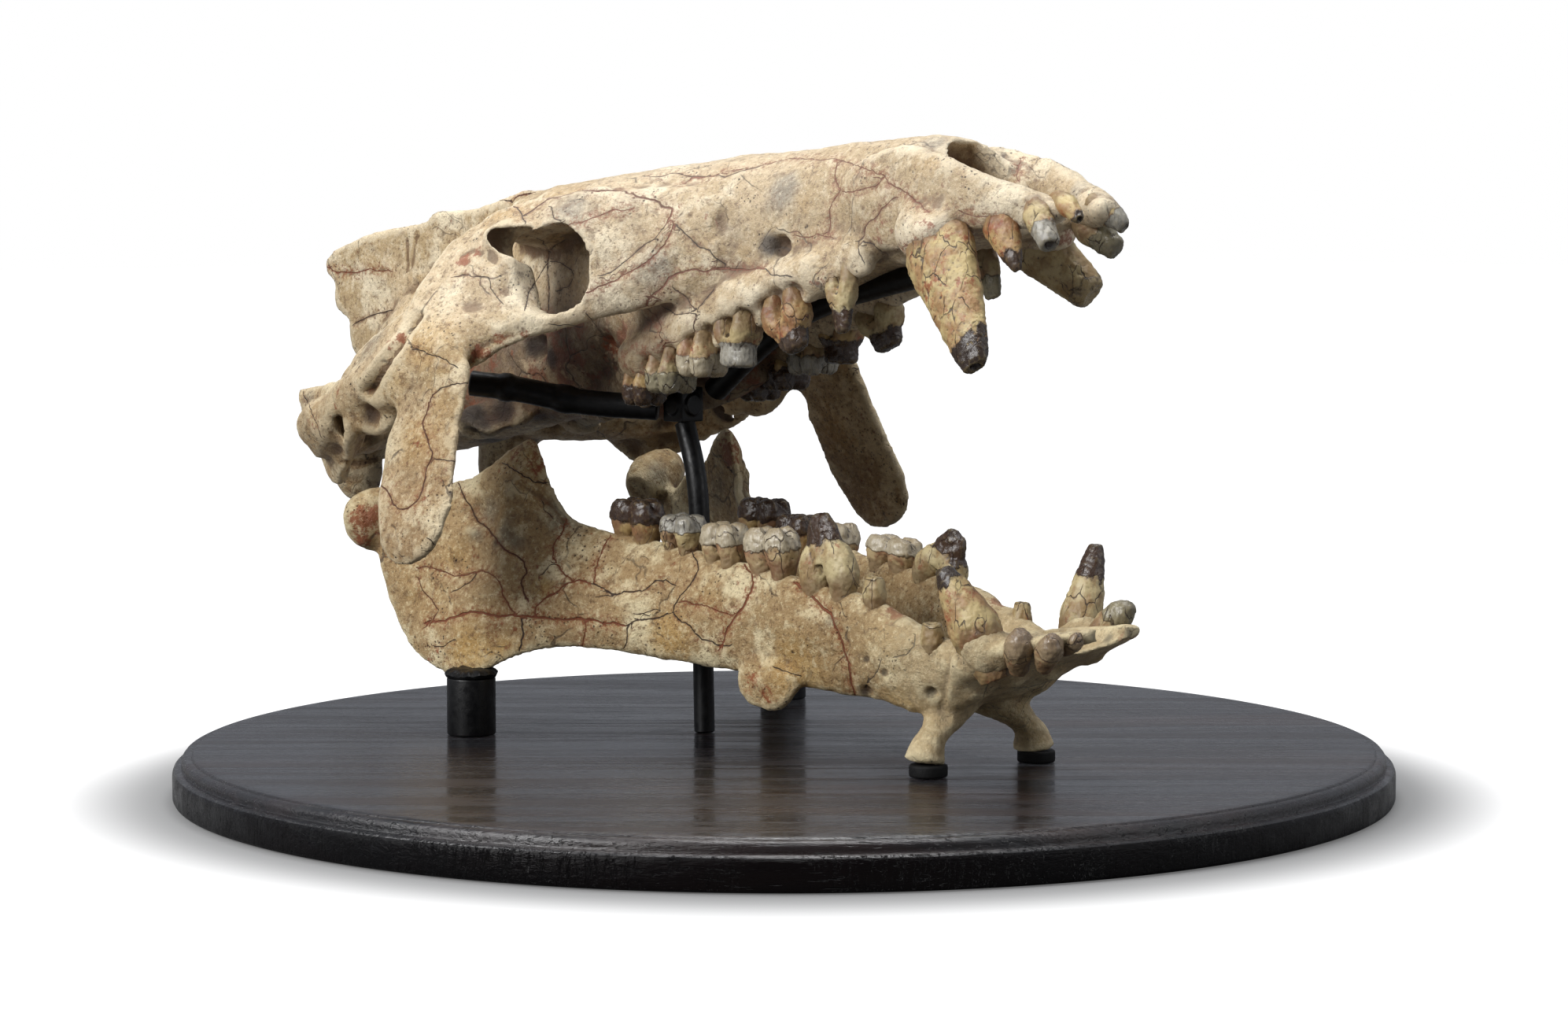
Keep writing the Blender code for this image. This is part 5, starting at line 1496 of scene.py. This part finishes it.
        # painted shade from the dark places, with some dark mottling from noise
        dark = self.value("stain_dark") + self.patchy * 0.6 + self.fine * 0.3
        self.coat(dark.ramp(0.60, 1.6) * 0.93, SHADE_AND_DIRT_BROWN)
        line_colour = self.mix((red + self.patchy * 0.4).ramp(0.5, 0.9), DARK_BROWN, CRACK_RUST)
        self.coat(on_line * 0.95, line_colour)
        self.coat((self.value("seam") + self.fine * 0.5).ramp(0.80, 1.30) * 0.85, BROWN)
        return on_line

    def add_tints(self):
        # Paler at the jaw's lower front and on the cranium's upper middle; then the cranium darker and
        # browner low down, brighter high up
        self.coat(self.x.ramp(0.10, 0.17) * self.height.ramp(0.22, 0.18, 0, 0.28), PALE)
        self.coat(self.x.ramp(-0.22, -0.12) * self.height.ramp(0.27, 0.31, 0, 0.12), PALE_GREY_CREAM)
        self.coat(1.0, self.mix(self.height.ramp(0.24, 0.31), *self.tints), "MULTIPLY")

    def finished(self):
        self.add_ground()
        self.add_specks()
        self.add_hollow_shade_and_dirt()
        pits = self.add_pits()
        hair = self.add_hair_cracks()
        on_line = self.add_cracks_stains_and_shade()
        self.add_tints()
        relief = self.fine * 0.0022 + self.grain * 0.0004 + self.noise(52, 4, 0.6) * 0.0030
        relief = relief - self.speck * 0.0014 - pits * 0.0007 - hair * 0.0004 - on_line * 0.0014
        return self.done(self.grain.ramp(0.3, 0.7, 0.42, 0.62) + pits * 0.1, relief)


def tooth_look(name, enamel, tip, root, stain, start, rust):
    """Glossy enamel from start on towards the tip, over a rougher root, with rust where it is stained and
    painted shade in its hollows.
    """
    look = Look(name, IOR=1.55)
    wavy = look.value("crown") + (look.noise(130, 4) - 0.5) * 0.5
    fine, grain = look.noise(260, 5, 0.7), look.noise(1000, 3, 0.7)
    streaks = look.noise(420, 5, 0.7, look.stretched((1, 1, 0.22)))
    is_crown = wavy.ramp(start - 0.015, start + 0.015)
    crown_colour = look.mix(streaks.ramp(0.44, 0.72, 0, 0.8), enamel, tip)
    crown_colour = look.mix(wavy.ramp(start + 0.35, 1.05, 0, 0.8), crown_colour, tip)
    look.colour = look.mix(look.noise(75, 5, 0.6).ramp(0.42, 0.62), root, stain)
    look.coat(fine.ramp(0.56, 0.70, 0, 0.7), BROWN)
    look.coat((look.noise(95, 6, 0.75) + rust * 0.30).ramp(0.66, 0.76, 0, 0.9), RUST)
    look.coat(is_crown, crown_colour)
    hollow = look.value("hollow_small")
    # painted shade: the tooth's hollows darkened, its ridges a little paler
    look.coat(hollow.ramp(0.05, 0.32, 0, 0.85), DARK_BROWN)
    look.coat(hollow.ramp(-0.08, -0.40, 0, 0.16), root)
    cracks = look.cells(75, "DISTANCE_TO_EDGE", look.warped(0.006, 130, look.stretched((1, 1, 0.45))))
    cracks = cracks.ramp(0.022, 0.006) * look.noise(50, 2).ramp(0.46, 0.56)
    look.coat(cracks * 0.85, DARK_BROWN)
    edge = wavy.ramp(start - 0.05, start - 0.01) * wavy.ramp(start + 0.05, start + 0.01)
    look.coat(edge * 0.5, DARK_BROWN)
    look.coat(wavy.ramp(0.12, -0.06, 0, 0.6), BROWN)
    relief = is_crown * 0.0005 + streaks * 0.0003 + fine * 0.0004 + grain * 0.00008 - cracks * 0.0005
    dull, shiny = fine.ramp(0.35, 0.65, 0.42, 0.58), fine.ramp(0.35, 0.65, 0.18, 0.32)
    return look.done(dull + is_crown * (shiny - dull), relief)


WOOD_COLOURS = {
    "dark": (0.0016, 0.0013, 0.0021),
    "light": (0.0085, 0.0050, 0.0062),
    "streak": (0.020, 0.008, 0.005),
    "fibre": (0.012, 0.0065, 0.006),
    "pore": (0.002, 0.0015, 0.0015),
    # the side wall's colour, darker as painted shade
    "side": (0.0012, 0.0010, 0.0013),
}


def wood_look(name, ior):
    """Dark stained board under satin varnish, with the grain across the line of sight, and the side wall
    painted darker than the top as shade.
    """
    look = Look(name, IOR=ior)
    along = look.stretched((1, 1, 1), -HEADING)
    grain = look.noise(42, 6, 0.62, look.stretched((0.055, 1, 1), 0, along), 0.6)
    fibre = look.noise(420, 5, 0.7, look.stretched((0.035, 1, 1), 0, along))
    streak = look.noise(9, 5, 0.6, look.stretched((0.16, 1, 1), 0, along), 0.4)
    pores = look.noise(700, 3, 0.6, look.stretched((0.03, 1, 0.8), 0, along)).ramp(0.60, 0.70)
    on_side = look.axes()[2].ramp(SIDE_WALL_TOP + 0.002, SIDE_WALL_TOP)
    ends = look.noise(380, 4, 0.7, look.stretched((1, 1, 0.12))).ramp(0.53, 0.62)
    ends = ends * on_side * look.noise(16, 3).ramp(0.38, 0.50)
    look.colour = look.mix(grain.ramp(0.38, 0.66), WOOD_COLOURS["dark"], WOOD_COLOURS["light"])
    look.coat(streak.ramp(0.50, 0.68, 0, 0.8), WOOD_COLOURS["streak"])
    look.coat(fibre.ramp(0.52, 0.72, 0, 0.5), WOOD_COLOURS["fibre"])
    look.coat(pores * 0.8, WOOD_COLOURS["pore"])
    # painted shade: the side wall darker than the top
    look.coat(on_side * 0.85, WOOD_COLOURS["side"])
    relief = fibre * 0.0008 + grain * 0.0014 - pores * 0.0006 - ends * 0.0018
    gloss = grain.ramp(0.38, 0.62, 0.09, 0.27) + fibre * 0.10 + pores * 0.25 - on_side * 0.12
    return look.done(gloss, relief, 0.9)


def steel_look():
    """Black-painted steel, with faint brush marks and dust."""
    look = Look("black_painted_steel", IOR=1.38)
    dust, dusty = look.noise(160, 5, 0.7).ramp(0.50, 0.75), (0.012, 0.011, 0.011)
    scuff, scuffed = look.noise(70, 5, 0.7).ramp(0.58, 0.72), (0.009, 0.009, 0.008)
    look.colour = look.mix(dust * 0.3, (0.0015, 0.0015, 0.0018), dusty)
    look.coat(scuff * 0.3, scuffed)
    relief = look.noise(900, 4, 0.6) * 0.0001 + look.noise(90, 3) * 0.0003
    return look.done(look.noise(220, 4).ramp(0.3, 0.7, 0.30, 0.52), relief)


def rubber_look():
    look = Look("black_rubber_pad", IOR=1.3)
    fine = look.noise(700, 5, 0.7)
    look.colour = look.mix(fine.ramp(0.45, 0.7), (0.003, 0.003, 0.003), (0.009, 0.0085, 0.008))
    return look.done(fine.ramp(0.3, 0.7, 0.55, 0.75), fine * 0.0003)


# Floor and light

FLOOR_DROP = 0.0006
# Distances from the base's centre, and the floor's glow at each, as the camera sees it: dim near the base, a
# painted shadow round it
FLOOR_GLOW_AND_SHADOW = (0.38, 0.48, 0.13, 1.0)
# Right, ahead and up from the base's centre as the camera sees it, width, height and watts of each lamp
LAMPS = {
    "key": ((-1.9, -1.5, 1.5), (1.2, 1.5), 79),
    "top": ((0.1, 0.1, 2.3), (1.5, 1.1), 42),
    "fill": ((2.4, -1.2, 1.2), (1.2, 1.2), 9),
}
LIT_PLACE = Vector((0, 0, 0.25))
# The faint light from all round, which is weaker from the camera's side: how far a way looks towards the
# camera, and the light's strength there
SKY_COLOUR = (0.92, 0.96, 1.06, 1)
SKY_RANGE, SKY_STRENGTH = (0.35, 0.85), (0.37, 0.07)


def add_floor():
    """A white floor. The camera sees it brighter than it lights the skull, as on an overexposed sweep, and
    dimmer near the base as a painted shadow.
    """

    def fill(work):
        bmesh.ops.create_grid(work, x_segments=1, y_segments=1, size=14)

    floor = piece_from("studio_floor", fill)
    look = Look("white_floor", Roughness=0.9)
    look.feed(look.shader.inputs["Base Color"], look.mix(look.noise(3, 2), (0.15,) * 3, (0.16,) * 3))
    away = look.add("ShaderNodeVectorMath", operation="LENGTH")
    look.feed(away.inputs[0], look.place)
    seen = Value(look, look.add("ShaderNodeLightPath").outputs["Is Camera Ray"])
    look.shader.inputs["Emission Color"].default_value = (1, 1, 1, 1)
    # painted shadow: the floor is dimmer towards the base
    glow_and_shadow = seen * Value(look, away.outputs["Value"]).ramp(*FLOOR_GLOW_AND_SHADOW)
    look.feed(look.shader.inputs["Emission Strength"], glow_and_shadow)
    floor.data.materials.append(look.material)
    floor.location.z = -FLOOR_DROP


def from_camera(right, ahead, up):
    """A place given from the middle of the base: right and ahead as the camera sees them, and up."""
    flat_right = Vector((RIGHT.x, RIGHT.y, 0)).normalized()
    flat_ahead = Vector((FORWARD.x, FORWARD.y, 0)).normalized()
    return flat_right * right + flat_ahead * ahead + Vector((0, 0, up))


def add_lamp(name, place, size, watts):
    data = bpy.data.lights.new(name, "AREA")
    data.shape = "RECTANGLE"
    data.size, data.size_y = size
    data.energy = watts
    lamp = bpy.data.objects.new(name, data)
    bpy.context.scene.collection.objects.link(lamp)
    lamp.location = from_camera(*place)
    lamp.rotation_euler = (LIT_PLACE - lamp.location).to_track_quat("-Z", "Y").to_euler()


def add_world():
    """Plain white where the camera looks, and the faint light from all round for everything else."""
    world = bpy.data.worlds.new("studio")
    bpy.context.scene.world = world
    world.use_nodes = True
    nodes, links = world.node_tree.nodes, world.node_tree.links
    plain = nodes["Background"]
    plain.inputs["Color"].default_value = (1, 1, 1, 1)
    plain.inputs["Strength"].default_value = 1.0
    dim = nodes.new("ShaderNodeBackground")
    dim.inputs["Color"].default_value = SKY_COLOUR
    front = nodes.new("ShaderNodeVectorMath")
    front.operation = "DOT_PRODUCT"
    front.inputs[1].default_value = from_camera(0, -1, -0.1)
    links.new(nodes.new("ShaderNodeTexCoord").outputs["Generated"], front.inputs[0])
    rise = nodes.new("ShaderNodeMapRange")
    for name, number in zip(("From Min", "From Max", "To Min", "To Max"), SKY_RANGE + SKY_STRENGTH):
        rise.inputs[name].default_value = number
    links.new(front.outputs["Value"], rise.inputs["Value"])
    links.new(rise.outputs["Result"], dim.inputs["Strength"])
    choose = nodes.new("ShaderNodeMixShader")
    links.new(nodes.new("ShaderNodeLightPath").outputs["Is Camera Ray"], choose.inputs[0])
    links.new(dim.outputs[0], choose.inputs[1])
    links.new(plain.outputs[0], choose.inputs[2])
    links.new(choose.outputs[0], nodes["World Output"].inputs["Surface"])
    bpy.context.scene.view_settings.view_transform = "Standard"


# Enamel, tip, root and stain colours, where the enamel starts and how rusty the root is
TOOTH_LOOKS = {
    "dark": ((0.05, 0.028, 0.018), (0.022, 0.013, 0.01), (0.42, 0.29, 0.12), (0.22, 0.11, 0.05), 0.32, 0.2),
    "grey": ((0.33, 0.31, 0.26), (0.13, 0.12, 0.1), (0.46, 0.36, 0.18), (0.24, 0.14, 0.07), 0.45, 0.3),
    "pale": ((0.45, 0.39, 0.28), (0.26, 0.2, 0.12), (0.48, 0.36, 0.19), (0.28, 0.14, 0.07), 0.4, 0.3),
    "amber": (
        (0.06, 0.038, 0.026), (0.025, 0.016, 0.012), (0.45, 0.3, 0.13), (0.27, 0.13, 0.055), 0.66, 0.5,
    ),
    "olive": ((0.25, 0.22, 0.14), (0.14, 0.12, 0.08), (0.4, 0.32, 0.17), (0.26, 0.16, 0.08), 0.4, 0.2),
    "tusk": ((0.055, 0.032, 0.02), (0.025, 0.015, 0.01), (0.48, 0.37, 0.17), (0.33, 0.19, 0.08), 0.8, 0.42),
    "blunt": ((0.4, 0.32, 0.16), (0.3, 0.22, 0.11), (0.42, 0.33, 0.17), (0.26, 0.17, 0.07), 0.9, 0.2),
    "brown_tip": (
        (0.055, 0.03, 0.018), (0.022, 0.013, 0.01), (0.5, 0.41, 0.22), (0.3, 0.2, 0.09), 0.56, 0.2,
    ),
    "peg": ((0.3, 0.22, 0.13), (0.16, 0.11, 0.07), (0.36, 0.26, 0.14), (0.2, 0.11, 0.05), 0.25, 0.3),
}


def add_teeth():
    """Every tooth, and a fifth of their points, for the dirt round them."""
    looks = {name: tooth_look(f"tooth_{name}", *colours) for name, colours in TOOTH_LOOKS.items()}
    points = []
    for jaw, teeth in TEETH.items():
        for name, (*places, length, width, blunt, look) in teeth.items():
            tooth = add_tooth(f"{jaw}_{name}", places, length, width, blunt, looks[look])
            points.append(points_of(tooth.data)[::5])
    return np.vstack(points)


def add_marked_bone(node, build, marks, tooth_points):
    bone = add_bone(f"{node}_bone", *build)
    cracks, stains_and_shade = marks
    mark_cracks(bone.data, cracks)
    mark_stains_and_shade(bone.data, stains_and_shade)
    mark_hollows(bone.data)
    mark_seams(bone.data, tooth_points)
    look = BoneLook(f"fossil_{node}", *BONE_TINTS[node]).finished()
    finish_piece(bone, node, look)
    print(node, len(bone.data.polygons), "faces")


def main():
    add_camera()
    for name, (place, size, watts) in LAMPS.items():
        add_lamp(name, place, size, watts)
    add_world()
    add_floor()
    tooth_points = add_teeth()
    cranium = (fill_cranium, fill_cranium_hollows, CRANIUM_VOXEL)
    cranium += (CRANIUM_MELTS, CRANIUM_DENTS, CRANIUM_GROOVES)
    add_marked_bone("cranium", cranium, (CRANIUM_CRACKS, CRANIUM_STAINS_AND_SHADE), tooth_points)
    mandible = (fill_mandible, fill_mandible_hollows, MANDIBLE_VOXEL)
    mandible += (MANDIBLE_MELTS, MANDIBLE_DENTS, MANDIBLE_GROOVES)
    add_marked_bone("mandible", mandible, (MANDIBLE_CRACKS, MANDIBLE_STAINS_AND_SHADE), tooth_points)
    add_base(wood_look("stained_wood", 1.62), wood_look("stained_edge", 1.22))
    add_supports(steel_look(), rubber_look())


main()
